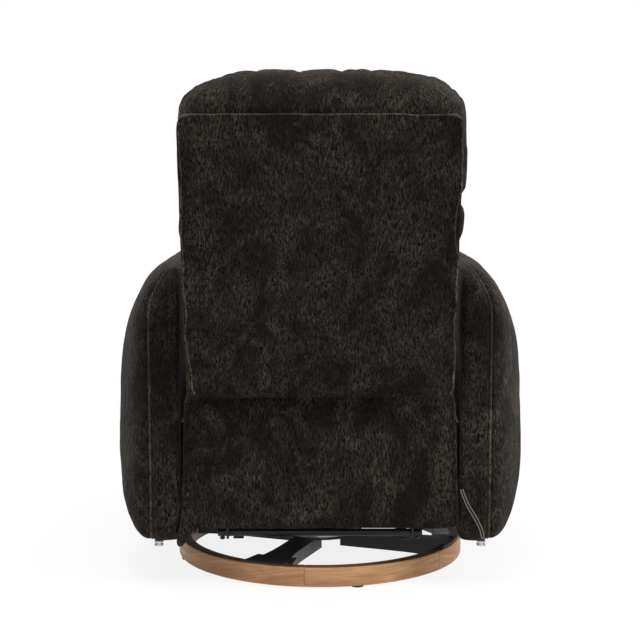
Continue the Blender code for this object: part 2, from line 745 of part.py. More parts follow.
def side_plates():
    low = LOWER_PIVOT_Z
    high = SEAT_RAIL_TOP - FRONT_RAIL_HEIGHT / 2
    front = CARRIAGE_FLANGE_FRONT + WOOD
    nose = FOOT_LINK_EYE + STEEL
    rear = RECLINE_Y + RECLINE_EYE
    eye = RECLINE_EYE * EYE_CORNER_SHARE
    corners = [
        (front, low, WOOD / 2),
        (REAR_RAIL_FRONT - STEEL, low, WOOD / 2),
        (REAR_RAIL_FRONT - STEEL, RECLINE_Z - RECLINE_EYE, STEEL),
        (rear, RECLINE_Z, 0),
        (rear - GAP, RECLINE_Z + RECLINE_EYE, eye),
        (RECLINE_Y - RECLINE_EYE, RECLINE_Z + RECLINE_EYE, eye),
        (RECLINE_Y - RECLINE_EYE, high, STEEL),
        (DRIVE_Y - nose / 2, high, STEEL),
        (DRIVE_Y - nose, DRIVE_Z, STEEL),
        (STABILISER[0] - nose, STABILISER[1] - nose, STEEL),
        (front, low + SIDE_PLATE_NOSE_RISE, WOOD),
    ]
    hole = TORQUE_TUBE_RADIUS + GAP
    for side, sign in SIDES:
        a, b = span(sign, PLATE_INNER, PLATE_OUTER)
        plate = prism(rounded(corners, 3), a, b, "X")
        plate = cut(plate, rod(tuple(DRIVE), hole, a - OVERRUN, b + OVERRUN, "X"))
        middle = (low + high) / 2
        for share in SIDE_HOLE_SHARES:
            y = front + (RECLINE_Y - front) * share
            plate = cut(plate, rod((y, middle), (high - low) / 8, a - OVERRUN, b + OVERRUN, "X", ROUND))
        for centre, radius in ((tuple(STABILISER), FOOT_PIN_RADIUS), (RECLINE, RECLINE_PIN_RADIUS)):
            c, d = span(sign, FIRST_INNER - GAP, PLATE_INNER + STEEL / 2)
            e, f = span(sign, FIRST_INNER - GAP - FOOT_PIN_HEAD, FIRST_INNER - GAP)
            pin = weld(rod(centre, radius, c, d, "X"), rod(centre, radius + PIN_HEAD_RIM, e, f, "X"))
            plate = weld(plate, pin)
        place(f"side_plate_{side}", plate, BLACK_STEEL, CARRIAGE_ORIGIN)


def seat_rails():
    top = SEAT_RAIL_TOP
    for side, sign in SIDES:
        a, b = span(sign, RAIL_INNER, RAIL_OUTER)
        low = top - SIDE_RAIL_HEIGHT
        corners = [(SEAT_FRAME_FRONT, top - FRONT_RAIL_HEIGHT, STEEL),
                   (SEAT_FRAME_FRONT + SIDE_RAIL_HEIGHT, low, WOOD),
                   (SEAT_FRAME_REAR, low, STEEL), (SEAT_FRAME_REAR, top, STEEL),
                   (SEAT_FRAME_FRONT, top, STEEL)]
        place(f"seat_side_rail_{side}", prism(rounded(corners, 3), a, b, "X"), FRAME_WOOD, CARRIAGE_ORIGIN)
    reach = RAIL_INNER - GAP
    front = box((-reach, SEAT_FRAME_FRONT, top - FRONT_RAIL_HEIGHT), (reach, SEAT_FRAME_FRONT + WOOD, top))
    place("seat_front_rail", front, FRAME_WOOD, CARRIAGE_ORIGIN)
    low = top - REAR_RAIL_HEIGHT
    arch = [(-reach, low, STEEL), (-reach / 2, low, WOOD), (-reach / 3, low + WOOD, WOOD),
            (reach / 3, low + WOOD, WOOD), (reach / 2, low, WOOD), (reach, low, STEEL),
            (reach, top, STEEL), (-reach, top, STEEL)]
    rear = prism(rounded(arch, 3), REAR_RAIL_FRONT, SEAT_FRAME_REAR, "Y")
    place("seat_rear_rail", rear, FRAME_WOOD, CARRIAGE_ORIGIN)


def seat_springs():
    start = SEAT_FRAME_FRONT + WOOD + GAP
    end = REAR_RAIL_FRONT - GAP
    z = SEAT_RAIL_TOP - SPRING_WIRE * 2
    steps = SPRING_WAVES * SPRING_STEPS
    for k in range(SPRING_COUNT):
        middle = (k - (SPRING_COUNT - 1) / 2) * SPRING_PITCH
        route = []
        for i in range(steps + 1):
            t = i / steps
            phase = math.tau * SPRING_WAVES * t
            ease = min(1, SPRING_STEPS * t, SPRING_STEPS * (1 - t))
            y = start + (end - start) * t
            bulge = math.sin(2 * phase) * SPRING_WIRE * 2 * ease
            route.append(Vector((middle + SPRING_AMPLITUDE * math.sin(phase) * ease, y + bulge, z)))
        place(f"seat_spring_{k + 1}", pipe(route, SPRING_WIRE, 0), SPRING_STEEL, CARRIAGE_ORIGIN)


CUSHION_LOW = SEAT_RAIL_TOP + GAP


def seat_cushion():
    half = (ARM_SPACE - CUSHION_SIDE_ROOM, (CUSHION_REAR - CUSHION_FRONT) / 2, CUSHION_HEIGHT / 2)
    middle = Vector((0, (CUSHION_REAR + CUSHION_FRONT) / 2, CUSHION_LOW + half[2]))

    def bend(u, v, w, point):
        if w > 0:
            point.z += w * CUSHION_CROWN * (1 - u ** 2) * (1 - v ** 4)
        point.x *= 1 - CUSHION_DRAW / half[0] * (1 - v ** 2) * abs(w)
        return point + middle

    mesh = pillow(half, (12, 12, 6), even(9), 5, bend)
    place("seat_cushion", mesh, CHARCOAL, CARRIAGE_ORIGIN, 60)


def lower_back_panel():
    near = SEAT_FRAME_REAR + GAP
    low, high = LOWER_PANEL_BOTTOM, LOWER_PANEL_TOP
    wide = RAIL_OUTER
    slim = wide - LOWER_PANEL_TAPER
    outline = []
    for step in range(5):
        outline.append((-wide + 2 * wide * step / 5, low))
    for step in range(5):
        outline.append((wide + (slim - wide) * step / 5, low + (high - low) * step / 5))
    for step in range(5):
        outline.append((slim - 2 * slim * step / 5, high))
    for step in range(5):
        outline.append((-slim + (slim - wide) * step / 5, high + (low - high) * step / 5))
    mesh = padded_panel(outline, near, near + LOWER_PANEL_THICKNESS, PANEL_RIM, lambda a, b, y: Vector((a, y, b)))
    place("lower_back_panel", mesh, CHARCOAL, CARRIAGE_ORIGIN, 60)


# Arms

def arm_outline():
    """The side view of an arm as (y, z) points, the same number along each part."""
    corners = [(ARM_FRONT, ARM_BOTTOM, ARM_FRONT_BOTTOM_RADIUS), (ARM_REAR, ARM_BOTTOM, ARM_REAR_BOTTOM_RADIUS),
               (ARM_REAR, ARM_TOP, ARM_REAR_TOP_RADIUS), (ARM_FRONT, ARM_TOP, ARM_FRONT_TOP_RADIUS)]
    arcs = rounded(corners, 6)
    outline = []
    for k in range(4):
        arc = arcs[k * 7:k * 7 + 7]
        outline += arc
        after = arcs[(k * 7 + 7) % len(arcs)]
        for i in range(1, 5):
            outline.append((arc[-1][0] + (after[0] - arc[-1][0]) * i / 5,
                            arc[-1][1] + (after[1] - arc[-1][1]) * i / 5))
    return outline


DOME_SHARES = (0.985, 0.95, 0.89, 0.79, 0.63, 0.42, 0.18)
DOME_POWER = 2.25
DOME_FOOT_POWER = 1.3         # added to the power at the foot of the arm


def seam_at(z):
    part = min(1, max(0, (z - ARM_TOP + ARM_SEAM_RISE) / ARM_SEAM_RISE))
    return ARM_SEAM - (ARM_SEAM - ARM_TOP_SEAM) * part ** 2


def lean_at(z):
    """How far the outer side stands in at height z, above the arm's middle."""
    part = max(0, (z - ARM_BOTTOM) / (ARM_TOP - ARM_BOTTOM) * 2 - 1)
    return ARM_LEAN * part ** 2


def rise_at(z, share):
    """Rise of the outer panel at a share of the outline, squarer toward the foot."""
    part = max(0, 1 - (z - ARM_BOTTOM) / (ARM_TOP - ARM_BOTTOM) * 2)
    return (1 - share ** (DOME_POWER + DOME_FOOT_POWER * part)) ** 0.5


def arm_point(sign, middle, spot, share, x):
    """A point of the outline drawn in to a share of its size, rounder as it draws in."""
    half = (middle[0] - ARM_FRONT, middle[1] - ARM_BOTTOM)
    y, z = spot[0] - middle[0], spot[1] - middle[1]
    turn_by = math.atan2(z / half[1], y / half[0])
    oval = (half[0] * math.cos(turn_by), half[1] * math.sin(turn_by))
    blend = 1 - share
    return Vector((sign * x, middle[0] + share * (y + (oval[0] - y) * blend),
                   middle[1] + share * (z + (oval[1] - z) * blend)))


def arm_pocket(gap):
    """Low and high corners of the board inside an arm, less a gap on each side."""
    margin = ARM_BOARD_MARGIN
    inner = ARM_SPACE + ARM_BOARD_DEPTH
    return ((inner + gap, ARM_FRONT + margin + gap, ARM_BOTTOM + ARM_EDGE),
            (inner + ARM_BOARD - gap, ARM_REAR - margin - gap, ARM_TOP - margin - gap))


def arms():
    outline = arm_outline()
    middle = ((ARM_FRONT + ARM_REAR) / 2, (ARM_BOTTOM + ARM_TOP) / 2)
    for side, sign in SIDES:
        flat = 1 - ARM_EDGE / (middle[1] - ARM_BOTTOM)
        rings = [[arm_point(sign, middle, p, flat, ARM_SPACE) for p in outline],
                 [arm_point(sign, middle, p, 1, ARM_SPACE + ARM_EDGE) for p in outline],
                 [arm_point(sign, middle, p, 1, seam_at(p[1]) - ARM_EDGE / 2) for p in outline]]
        for share in DOME_SHARES:
            ring = []
            for p in outline:
                depth = ARM_HALF_WIDTH - lean_at(p[1]) - seam_at(p[1])
                ring.append(arm_point(sign, middle, p, share, seam_at(p[1]) + depth * rise_at(p[1], share)))
            rings.append(ring)
        mesh = loft(rings)
        low, high = arm_pocket(0)
        a, b = span(sign, low[0], high[0])
        mesh = cut(mesh, box((a, low[1], ARM_BOTTOM - OVERRUN), (b, high[1], high[2])))
        place(f"arm_{side}", mesh, CHARCOAL, CARRIAGE_ORIGIN, 60)
        low, high = arm_pocket(GAP)
        a, b = span(sign, low[0], high[0])
        r = ARM_BOARD
        corners = [(low[1], low[2], r), (high[1], low[2], r), (high[1], high[2], GAP), (low[1], high[2], GAP)]
        place(f"arm_board_{side}", prism(rounded(corners, 3), a, b, "X"), FRAME_WOOD, CARRIAGE_ORIGIN)


def arm_clips():
    """A small clip of clear plastic under the rear end of each arm."""
    top = ARM_BOTTOM - GAP
    for side, sign in SIDES:
        y = ARM_REAR - ARM_REAR_BOTTOM_RADIUS - CLIP_DEPTH / 2
        half = CLIP_WIDTH / 2
        lip = CLIP_HEIGHT / 4
        profile = [(-half, top), (half, top), (half, top - lip), (half / 2, top - lip),
                   (half / 2, top - CLIP_HEIGHT + lip), (half, top - CLIP_HEIGHT + lip),
                   (half, top - CLIP_HEIGHT), (-half, top - CLIP_HEIGHT),
                   (-half, top - CLIP_HEIGHT + lip), (-half / 2, top - CLIP_HEIGHT + lip),
                   (-half / 2, top - lip), (-half, top - lip)]
        outline = [(sign * CLIP_X + a, z) for a, z in profile]
        place(f"arm_clip_{side}", prism(outline, y, y + CLIP_DEPTH, "Y"), CLEAR_PLASTIC, CARRIAGE_ORIGIN)


def tie_cord():
    """One thin cord, doubled, that lies on the rear face of the right arm."""
    y = ARM_REAR + CORD_RADIUS + CORD_OFF
    route = [Vector((x, y, z)) for x, z in CORD_ROUTE]
    place("tie_cord", pipe(smooth_route(route, CORD_POINTS), CORD_RADIUS, 1), CORD_GREY, CARRIAGE_ORIGIN)


# Back, in its own frame: x, height up the lean, and depth to the rear of the outer face

UP = Vector((0, math.sin(BACK_LEAN), math.cos(BACK_LEAN)))
REARWARD = Vector((0, math.cos(BACK_LEAN), -math.sin(BACK_LEAN)))
BACK_ORIGIN = (0, RECLINE_Y, RECLINE_Z)


def on_back(x, height, depth):
    return Vector((x, BACK_FOOT_Y, BACK_FOOT_Z)) + height * UP + depth * REARWARD


def back_prism(outline, near, far):
    """An outline (x, height) of the back drawn out in depth."""
    mesh = prism(outline, near, far, "Z")
    for spot in mesh.vertices:
        spot.co = on_back(*spot.co)
    mesh.flip_normals()
    return mesh


def back_pillow(low, high, half_width, front, rear, crown, divisions, corner, shoulder=0):
    """A roll of the back between two heights: flat behind, domed in front. shoulder is the
    radius of its upper edge behind."""
    half = (half_width, (high - low) / 2, (front - crown - rear) / 2)

    def bend(u, v, w, point):
        if w > 0:
            point.z += w * crown * (1 - u ** 2) * (1 - v ** 2)
        elif shoulder and point.y > half[1] - shoulder:
            part = min(1, (point.y - half[1]) / shoulder + 1)
            point.z -= w * shoulder * (1 - math.sqrt(1 - part ** 2))
        return on_back(point.x, point.y + (low + high) / 2, -point.z - rear - half[2])

    return pillow(half, divisions, corner, ROLL_DOME, bend)


FRAME_REAR = PANEL_THICKNESS + GAP
FRAME_FRONT = FRAME_REAR + WOOD


def back_frame():
    w, s, r = BACK_FRAME_HALF_WIDTH, BACK_STILE, BACK_RAIL
    low, high = BACK_FRAME_LOW, BACK_FRAME_HIGH
    frame = back_prism([(-w, low), (w, low), (w, high), (-w, high)], -FRAME_FRONT, -FRAME_REAR)
    pitch = (high - low - r) / (BACK_RAILS - 1)
    for k in range(BACK_RAILS - 1):
        a = low + k * pitch + r
        b = low + (k + 1) * pitch
        window = rounded([(-w + s, a, STEEL), (w - s, a, STEEL), (w - s, b, STEEL), (-w + s, b, STEEL)], 2)
        frame = cut(frame, back_prism(window, -FRAME_FRONT - OVERRUN, -FRAME_REAR + OVERRUN))
    place("back_frame", frame, FRAME_WOOD, BACK_ORIGIN)


def outside_back_panel():
    top, foot = PANEL_TOP_HALF_WIDTH, PANEL_TOP_HALF_WIDTH - PANEL_TAPER
    r = PANEL_CORNER
    outline = rounded([(-foot, 0, r), (foot, 0, r), (top, PANEL_HEIGHT, r), (-top, PANEL_HEIGHT, r)], 3)
    mesh = padded_panel(outline, -PANEL_THICKNESS, 0, PANEL_RIM, on_back)
    place("outside_back_panel", mesh, CHARCOAL, BACK_ORIGIN, 60)


def back_rolls():
    rear = FRAME_FRONT + GAP
    mesh = back_pillow(LUMBAR_LOW, MIDDLE_LOW - ROLL_PART, LUMBAR_HALF_WIDTH, LUMBAR_FRONT, rear,
                       ROLL_CROWN, (12, 6, 5), even(ROLL_CORNER))
    place("lumbar_cushion", mesh, CHARCOAL, BACK_ORIGIN, 60)
    mesh = back_pillow(MIDDLE_LOW, HEAD_LOW - ROLL_PART, MIDDLE_HALF_WIDTH, MIDDLE_FRONT, rear,
                       ROLL_CROWN, (12, 7, 5), even(ROLL_CORNER))
    place("middle_cushion", mesh, CHARCOAL, BACK_ORIGIN, 60)


def head_cushion():
    """The head roll laps over the top of the frame and the outside back."""
    def corner(u, v):
        return HEAD_CORNER if v > 0 else ROLL_CORNER

    mesh = back_pillow(HEAD_LOW, HEAD_HIGH, HEAD_HALF_WIDTH, HEAD_FRONT, FRAME_REAR, ROLL_CROWN,
                       (14, 10, 6), corner, HEAD_SHOULDER)
    x = BACK_FRAME_HALF_WIDTH + GAP
    top = BACK_FRAME_HIGH + GAP
    room = [(-x, HEAD_LOW - OVERRUN), (x, HEAD_LOW - OVERRUN), (x, top), (-x, top)]
    mesh = cut(mesh, back_prism(room, -FRAME_FRONT - GAP, OVERRUN))
    place("head_cushion", mesh, CHARCOAL, BACK_ORIGIN, 60)


def back_brackets():
    """A goose-neck of steel plate that clears the fixed lower panel as the back leans."""
    inner = NECK_RADIUS - NECK_WIDTH / 2
    outer = NECK_RADIUS + NECK_WIDTH / 2
    steps = 6
    arc = [NECK_START + (NECK_END - NECK_START) * i / steps for i in range(steps + 1)]
    centre = Vector(RECLINE)
    depth = (FRAME_FRONT + FRAME_REAR) / 2
    half = WOOD / 2 - GAP
    foot_rear = on_back(0, BACK_FRAME_LOW, -depth + half)
    foot_front = on_back(0, BACK_FRAME_LOW, -depth - half)
    top_front = on_back(0, BRACKET_HIGH, -depth - half)
    top_rear = on_back(0, BRACKET_HIGH, -depth + half)
    neck = [tuple(centre + Vector(polar(outer, angle))) for angle in arc]
    belly = [tuple(centre + Vector(polar(inner, angle))) for angle in reversed(arc)]
    outline = neck + [foot_front.yz, top_front.yz, top_rear.yz, foot_rear.yz] + belly
    stem = NECK_WIDTH / 2
    up = Vector(polar(1, NECK_START))
    across = Vector((up.y, -up.x))
    post = [tuple(centre + across * stem), tuple(centre + across * stem + up * NECK_RADIUS),
            tuple(centre - across * stem + up * NECK_RADIUS), tuple(centre - across * stem)]
    for side, sign in SIDES:
        a, b = span(sign, FIRST_INNER, FIRST_OUTER)
        plate = weld(prism([tuple(p) for p in outline], a, b, "X"), prism(post, a, b, "X"),
                     rod(RECLINE, RECLINE_EYE, a, b, "X"))
        hole = rod(RECLINE, RECLINE_PIN_RADIUS + GAP, a - OVERRUN, b + OVERRUN, "X")
        place(f"back_bracket_{side}", cut(plate, hole), BLACK_STEEL, BACK_ORIGIN)


# Footrest: a remote-centre linkage. Each link stays parallel to its fellow, so that the
# board turns about a centre inside the seat cushion, where no hinge could be.

CENTRE = Vector((FOOT_CENTRE_Y, FOOT_CENTRE_Z))
BOARD_PIVOT = Vector((BOARD_PIVOT_Y, BOARD_PIVOT_Z))
CARRIER_REACH = CENTRE - DRIVE
KNEE = BOARD_PIVOT - CARRIER_REACH
ALONG_DRIVE = (KNEE - DRIVE).normalized()
TAIL = KNEE + ALONG_DRIVE * DRIVE_TAIL
LOWER_BOARD_PIVOT = BOARD_PIVOT + ALONG_DRIVE * DRIVE_TAIL
STABILISER_KNEE = KNEE + STABILISER - DRIVE


def at(point):
    return (0, point[0], point[1])


def link(circles, sign, layer, holes):
    a, b = span(sign, *layer)
    plate = prism(wrap([(p[0], p[1], FOOT_LINK_EYE) for p in circles]), a, b, "X")
    for centre, radius in holes:
        plate = cut(plate, rod(tuple(centre), radius + GAP, a - OVERRUN, b + OVERRUN, "X", 10))
    return plate


def pinned(plate, sign, centre):
    """Add a headed pin that reaches from the first layer through the second."""
    a, b = span(sign, SECOND_INNER - GAP, FIRST_INNER + STEEL / 2)
    c, d = span(sign, SECOND_INNER - GAP - FOOT_PIN_HEAD, SECOND_INNER - GAP)
    pin = weld(rod(tuple(centre), FOOT_PIN_RADIUS, a, b, "X", 10),
               rod(tuple(centre), FOOT_PIN_HEAD_RADIUS, c, d, "X", 10))
    return weld(plate, pin)


def footrest_links():
    first = (FIRST_INNER, FIRST_OUTER)
    second = (SECOND_INNER, SECOND_OUTER)
    pin = FOOT_PIN_RADIUS
    for side, sign in SIDES:
        a, b = span(sign, *first)
        waist = FOOT_LINK_EYE * SWING_WAIST_SHARE
        drive = prism(bone(DRIVE, TAIL, TORQUE_TUBE_RADIUS + STEEL, FOOT_LINK_EYE, waist), a, b, "X")
        drive = cut(drive, rod(tuple(DRIVE), TORQUE_TUBE_RADIUS + GAP, a - OVERRUN, b + OVERRUN, "X"))
        drive = pinned(pinned(drive, sign, KNEE), sign, TAIL)
        place(f"footrest_drive_link_{side}", drive, BLACK_STEEL, at(DRIVE))
        brace = link((STABILISER, STABILISER_KNEE), sign, first, ((STABILISER, pin),))
        place(f"footrest_stabiliser_link_{side}", pinned(brace, sign, STABILISER_KNEE),
              BLACK_STEEL, at(STABILISER))
        carrier = link((KNEE, STABILISER_KNEE, BOARD_PIVOT), sign, second,
                       ((KNEE, pin), (STABILISER_KNEE, pin), (BOARD_PIVOT, pin)))
        place(f"footrest_carrier_link_{side}", carrier, BLACK_STEEL, at(KNEE))
        board_link = link((TAIL, LOWER_BOARD_PIVOT), sign, second, ((TAIL, pin), (LOWER_BOARD_PIVOT, pin)))
        place(f"footrest_board_link_{side}", board_link, BLACK_STEEL, at(TAIL))
    reach = PLATE_OUTER - GAP
    tube = rod(tuple(DRIVE), TORQUE_TUBE_RADIUS, -reach, reach, "X")
    place("footrest_torque_tube", tube, ZINC, at(DRIVE))


def footrest_board():
    rear = BOARD_FACE_Y
    front = rear - BOARD_THICKNESS
    w = BOARD_HALF_WIDTH
    r = WOOD
    outline = rounded([(-w, BOARD_BOTTOM, r), (w, BOARD_BOTTOM, r), (w, BOARD_TOP, r), (-w, BOARD_TOP, r)], 4)
    place("footrest_board", prism(outline, front, rear, "Y"), FRAME_WOOD, at(BOARD_PIVOT))
    near = front - GAP
    half = (FOOT_PAD_HALF_WIDTH, (BOARD_TOP - BOARD_BOTTOM) / 2 + FOOT_PAD_OVERHANG,
            (FOOT_PAD_THICKNESS - FOOT_PAD_CROWN) / 2)

    def bend(u, v, w, point):
        if w > 0:
            point.z += w * FOOT_PAD_CROWN * (1 - u ** 4) * (1 - v ** 2)
        return Vector((point.x, near - half[2] - point.z, (BOARD_TOP + BOARD_BOTTOM) / 2 + point.y))

    place("footrest_pad", pillow(half, (12, 6, 4), even(9), 4, bend), CHARCOAL, at(BOARD_PIVOT), 60)


def footrest_brackets():
    """An angle of steel on the board's inner face, with the two pins of its links."""
    face = BOARD_FACE_Y + GAP
    for side, sign in SIDES:
        a, b = span(sign, FIRST_INNER, FIRST_OUTER)
        low = LOWER_BOARD_PIVOT[1] - FOOT_BRACKET_MARGIN
        high = BOARD_PIVOT[1] + FOOT_BRACKET_MARGIN
        eye = FOOT_LINK_EYE
        cheek = wrap([(face + GAP, low, GAP), (face + GAP, high, GAP),
                      (BOARD_PIVOT[0], BOARD_PIVOT[1], eye),
                      (LOWER_BOARD_PIVOT[0], LOWER_BOARD_PIVOT[1], eye)])
        bracket = prism(cheek, a, b, "X")
        c, d = span(sign, FIRST_INNER, BOARD_HALF_WIDTH - FOOT_BRACKET_MARGIN / 4)
        e, f = span(sign, FIRST_INNER - FOOT_BRACKET_FLANGE, FIRST_OUTER)
        bracket = weld(bracket, box((min(c, e), face, low), (max(d, f), face + STEEL * 0.75, high)))
        bracket = pinned(pinned(bracket, sign, BOARD_PIVOT), sign, LOWER_BOARD_PIVOT)
        place(f"footrest_bracket_{side}", bracket, BLACK_STEEL, at(BOARD_PIVOT))


def build():
    clear_scene()
    base_ring()
    floor_pads()
    base_cross()
    swivel()
    glide_frame()
    swing_links()
    carriage_rails()
    cross_tubes()
    side_plates()
    seat_rails()
    seat_springs()
    seat_cushion()
    lower_back_panel()
    arms()
    arm_clips()
    tie_cord()
    back_frame()
    outside_back_panel()
    back_rolls()
    head_cushion()
    back_brackets()
    footrest_links()
    footrest_board()
    footrest_brackets()


build()
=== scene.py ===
"""A swivel glider armchair in charcoal chenille, seen from behind."""
import json
import math

import bmesh
import bpy
from mathutils import Matrix, Vector, noise
from mathutils.bvhtree import BVHTree
from mathutils.kdtree import KDTree


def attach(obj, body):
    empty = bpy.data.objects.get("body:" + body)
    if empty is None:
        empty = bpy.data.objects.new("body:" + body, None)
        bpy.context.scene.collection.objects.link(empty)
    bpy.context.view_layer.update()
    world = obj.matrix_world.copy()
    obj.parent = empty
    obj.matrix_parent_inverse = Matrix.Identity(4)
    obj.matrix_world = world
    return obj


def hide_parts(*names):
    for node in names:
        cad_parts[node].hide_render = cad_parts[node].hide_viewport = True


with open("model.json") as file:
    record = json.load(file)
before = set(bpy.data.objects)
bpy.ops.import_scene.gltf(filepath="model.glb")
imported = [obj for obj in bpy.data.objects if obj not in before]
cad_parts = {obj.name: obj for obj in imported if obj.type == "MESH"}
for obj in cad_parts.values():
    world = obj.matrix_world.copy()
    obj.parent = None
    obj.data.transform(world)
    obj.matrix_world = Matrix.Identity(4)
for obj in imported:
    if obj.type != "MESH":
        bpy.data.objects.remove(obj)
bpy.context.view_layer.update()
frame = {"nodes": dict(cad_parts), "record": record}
SIDES = (("left", 1), ("right", -1))


# Shader nodes

def node(tree, kind, **values):
    made = tree.nodes.new(kind)
    for name, value in values.items():
        setattr(made, name, value)
    return made


def feed(tree, slot, value):
    """Give an input a value, or link it to the output of another node."""
    if isinstance(value, (int, float)):
        slot.default_value = value
    elif isinstance(value, tuple):
        slot.default_value = (*value, 1) if slot.type == "RGBA" else value
    else:
        tree.links.new(value, slot)


def noise_at(tree, source, scale, size, detail, roughness=0.5, distortion=0.0):
    """Noise over coordinates that are first stretched by scale."""
    stretch = node(tree, "ShaderNodeMapping")
    feed(tree, stretch.inputs["Scale"], scale)
    feed(tree, stretch.inputs["Vector"], source)
    made = node(tree, "ShaderNodeTexNoise")
    for name, value in (("Vector", stretch.outputs[0]), ("Scale", size), ("Detail", detail),
                        ("Roughness", roughness), ("Distortion", distortion)):
        feed(tree, made.inputs[name], value)
    return made.outputs["Fac"]


def ramp(tree, source, low, high, first=0.0, last=1.0):
    """The source read off a grey ramp: first up to low, last from high on."""
    made = node(tree, "ShaderNodeValToRGB")
    for stop, at, level in zip(made.color_ramp.elements, (low, high), (first, last)):
        stop.position = at
        stop.color = (level, level, level, 1)
    feed(tree, made.inputs["Fac"], source)
    return made.outputs["Color"]


def maths(tree, operation, *values):
    made = node(tree, "ShaderNodeMath", operation=operation)
    for slot, value in zip(made.inputs, values):
        feed(tree, slot, value)
    return made.outputs[0]


def mix_colour(tree, share, a, b):
    made = node(tree, "ShaderNodeMix", data_type="RGBA")
    for slot, value in ((0, share), (6, a), (7, b)):
        feed(tree, made.inputs[slot], value)
    return made.outputs[2]


def times(colour, share):
    return tuple(c * share for c in colour)


def bump(tree, height, distance, strength=1.0, under=None):
    made = node(tree, "ShaderNodeBump")
    for name, value in (("Strength", strength), ("Distance", distance), ("Height", height)):
        feed(tree, made.inputs[name], value)
    if under is not None:
        feed(tree, made.inputs["Normal"], under)
    return made.outputs[0]


def new_material(name):
    """A material, its node tree and the place on the object."""
    made = bpy.data.materials.new(name)
    made.use_nodes = True
    tree = made.node_tree
    return made, tree, node(tree, "ShaderNodeTexCoord").outputs["Object"]


def finished(made, colour, rough, relief, **others):
    """The material with its shader's colour, roughness, relief and other inputs set."""
    shader = made.node_tree.nodes["Principled BSDF"]
    inputs = {"Base Color": colour, "Roughness": rough, "Normal": relief}
    inputs |= {name.replace("_", " "): value for name, value in others.items()}
    for name, value in inputs.items():
        feed(made.node_tree, shader.inputs[name], value)
    return made


def seen_straight(tree):
    """1 where the camera, a gloss or a clear piece looks, and 0 where the surface only gives light."""
    path = node(tree, "ShaderNodeLightPath")
    seen = maths(tree, "MAXIMUM", path.outputs["Is Camera Ray"], path.outputs["Is Glossy Ray"])
    return maths(tree, "MAXIMUM", seen, path.outputs["Is Transmission Ray"])


def blended(tree, share, first, second, output):
    """Two shaders, mixed by share, on a new output node."""
    mix = node(tree, "ShaderNodeMixShader")
    for slot, source in enumerate((share, first.outputs[0], second.outputs[0])):
        tree.links.new(source, mix.inputs[slot])
    tree.links.new(mix.outputs[0], node(tree, output).inputs["Surface"])


# Camera, floor and lights

CAMERA_DISTANCE = 3.40
CAMERA_HEIGHT = 0.91
CAMERA_PITCH = math.radians(7.3)
CAMERA_FOCUS = 1700 / 640    # focal length in widths of the picture
CAMERA_CLIP = (0.1, 60)
SENSOR_WIDTH = 36            # millimetres

FLOOR_REACH = 30
FLOOR_COLOUR = (0.86, 0.86, 0.86)
SHADOW_FADE = (0.35, 1.1)    # distances from the axis between which the floor turns white
SHADOW_WHITE = (0.86, 1.0)   # how white it is there
SKY_LIGHT = 0.50
SKY_SEEN = 1.0
LIGHTS = (
    # name, place, target, width and height, power
    ("light_top", (0.2, 0.6, 3.0), (0, 0, 0.6), (2.2, 2.2), 72),
    ("light_rear_right", (-2.7, 0.95, 1.9), (0, 0.1, 0.5), (1.2, 2.0), 82),
    ("light_rear_left", (2.6, 2.0, 1.5), (0, 0.1, 0.5), (1.2, 2.0), 8),
    ("light_front", (0.6, -2.8, 1.9), (0, 0, 0.5), (2.0, 1.6), 26),
)


def camera():
    data = bpy.data.cameras.new("camera")
    data.sensor_width = SENSOR_WIDTH
    data.lens = CAMERA_FOCUS * SENSOR_WIDTH
    data.clip_start, data.clip_end = CAMERA_CLIP
    item = bpy.data.objects.new("camera", data)
    item.location = (0.0, CAMERA_DISTANCE, CAMERA_HEIGHT)
    item.rotation_euler = (math.pi / 2 - CAMERA_PITCH, 0, math.pi)
    bpy.context.collection.objects.link(item)
    bpy.context.scene.camera = item


def area_light(name, place, target, size, power):
    data = bpy.data.lights.new(name, "AREA")
    data.shape = "RECTANGLE"
    data.size, data.size_y = size
    data.energy = power
    item = bpy.data.objects.new(name, data)
    item.location = place
    item.rotation_euler = (Vector(target) - Vector(place)).to_track_quat("-Z", "Y").to_euler()
    bpy.context.collection.objects.link(item)


def backdrop_shader(material, colour):
    """White where the camera, a gloss or a clear piece sees it, with a soft shadow near the object."""
    tree = material.node_tree
    tree.nodes.clear()
    lit = node(tree, "ShaderNodeBsdfDiffuse")
    lit.inputs["Color"].default_value = (*colour, 1)
    glow = node(tree, "ShaderNodeEmission")
    glow.inputs["Strength"].default_value = 1.0
    far = node(tree, "ShaderNodeVectorMath", operation="LENGTH")
    tree.links.new(node(tree, "ShaderNodeTexCoord").outputs["Object"], far.inputs[0])
    fade = node(tree, "ShaderNodeMapRange")
    for name, value in zip(("From Min", "From Max", "To Min", "To Max"), SHADOW_FADE + SHADOW_WHITE):
        fade.inputs[name].default_value = value
    tree.links.new(far.outputs["Value"], fade.inputs["Value"])
    share = maths(tree, "MULTIPLY", seen_straight(tree), fade.outputs["Result"])
    blended(tree, share, lit, glow, "ShaderNodeOutputMaterial")


def backdrop():
    """The white floor, which is stage and no part of the chair."""
    mesh = bpy.data.meshes.new("floor")
    corners = [(x * FLOOR_REACH, y * FLOOR_REACH, 0) for x, y in ((-1, -1), (1, -1), (1, 1), (-1, 1))]
    mesh.from_pydata(corners, [], [(0, 1, 2, 3)])
    floor = bpy.data.objects.new("floor", mesh)
    bpy.context.collection.objects.link(floor)
    pale = bpy.data.materials.new("floor_pale")
    pale.use_nodes = True
    backdrop_shader(pale, FLOOR_COLOUR)
    mesh.materials.append(pale)


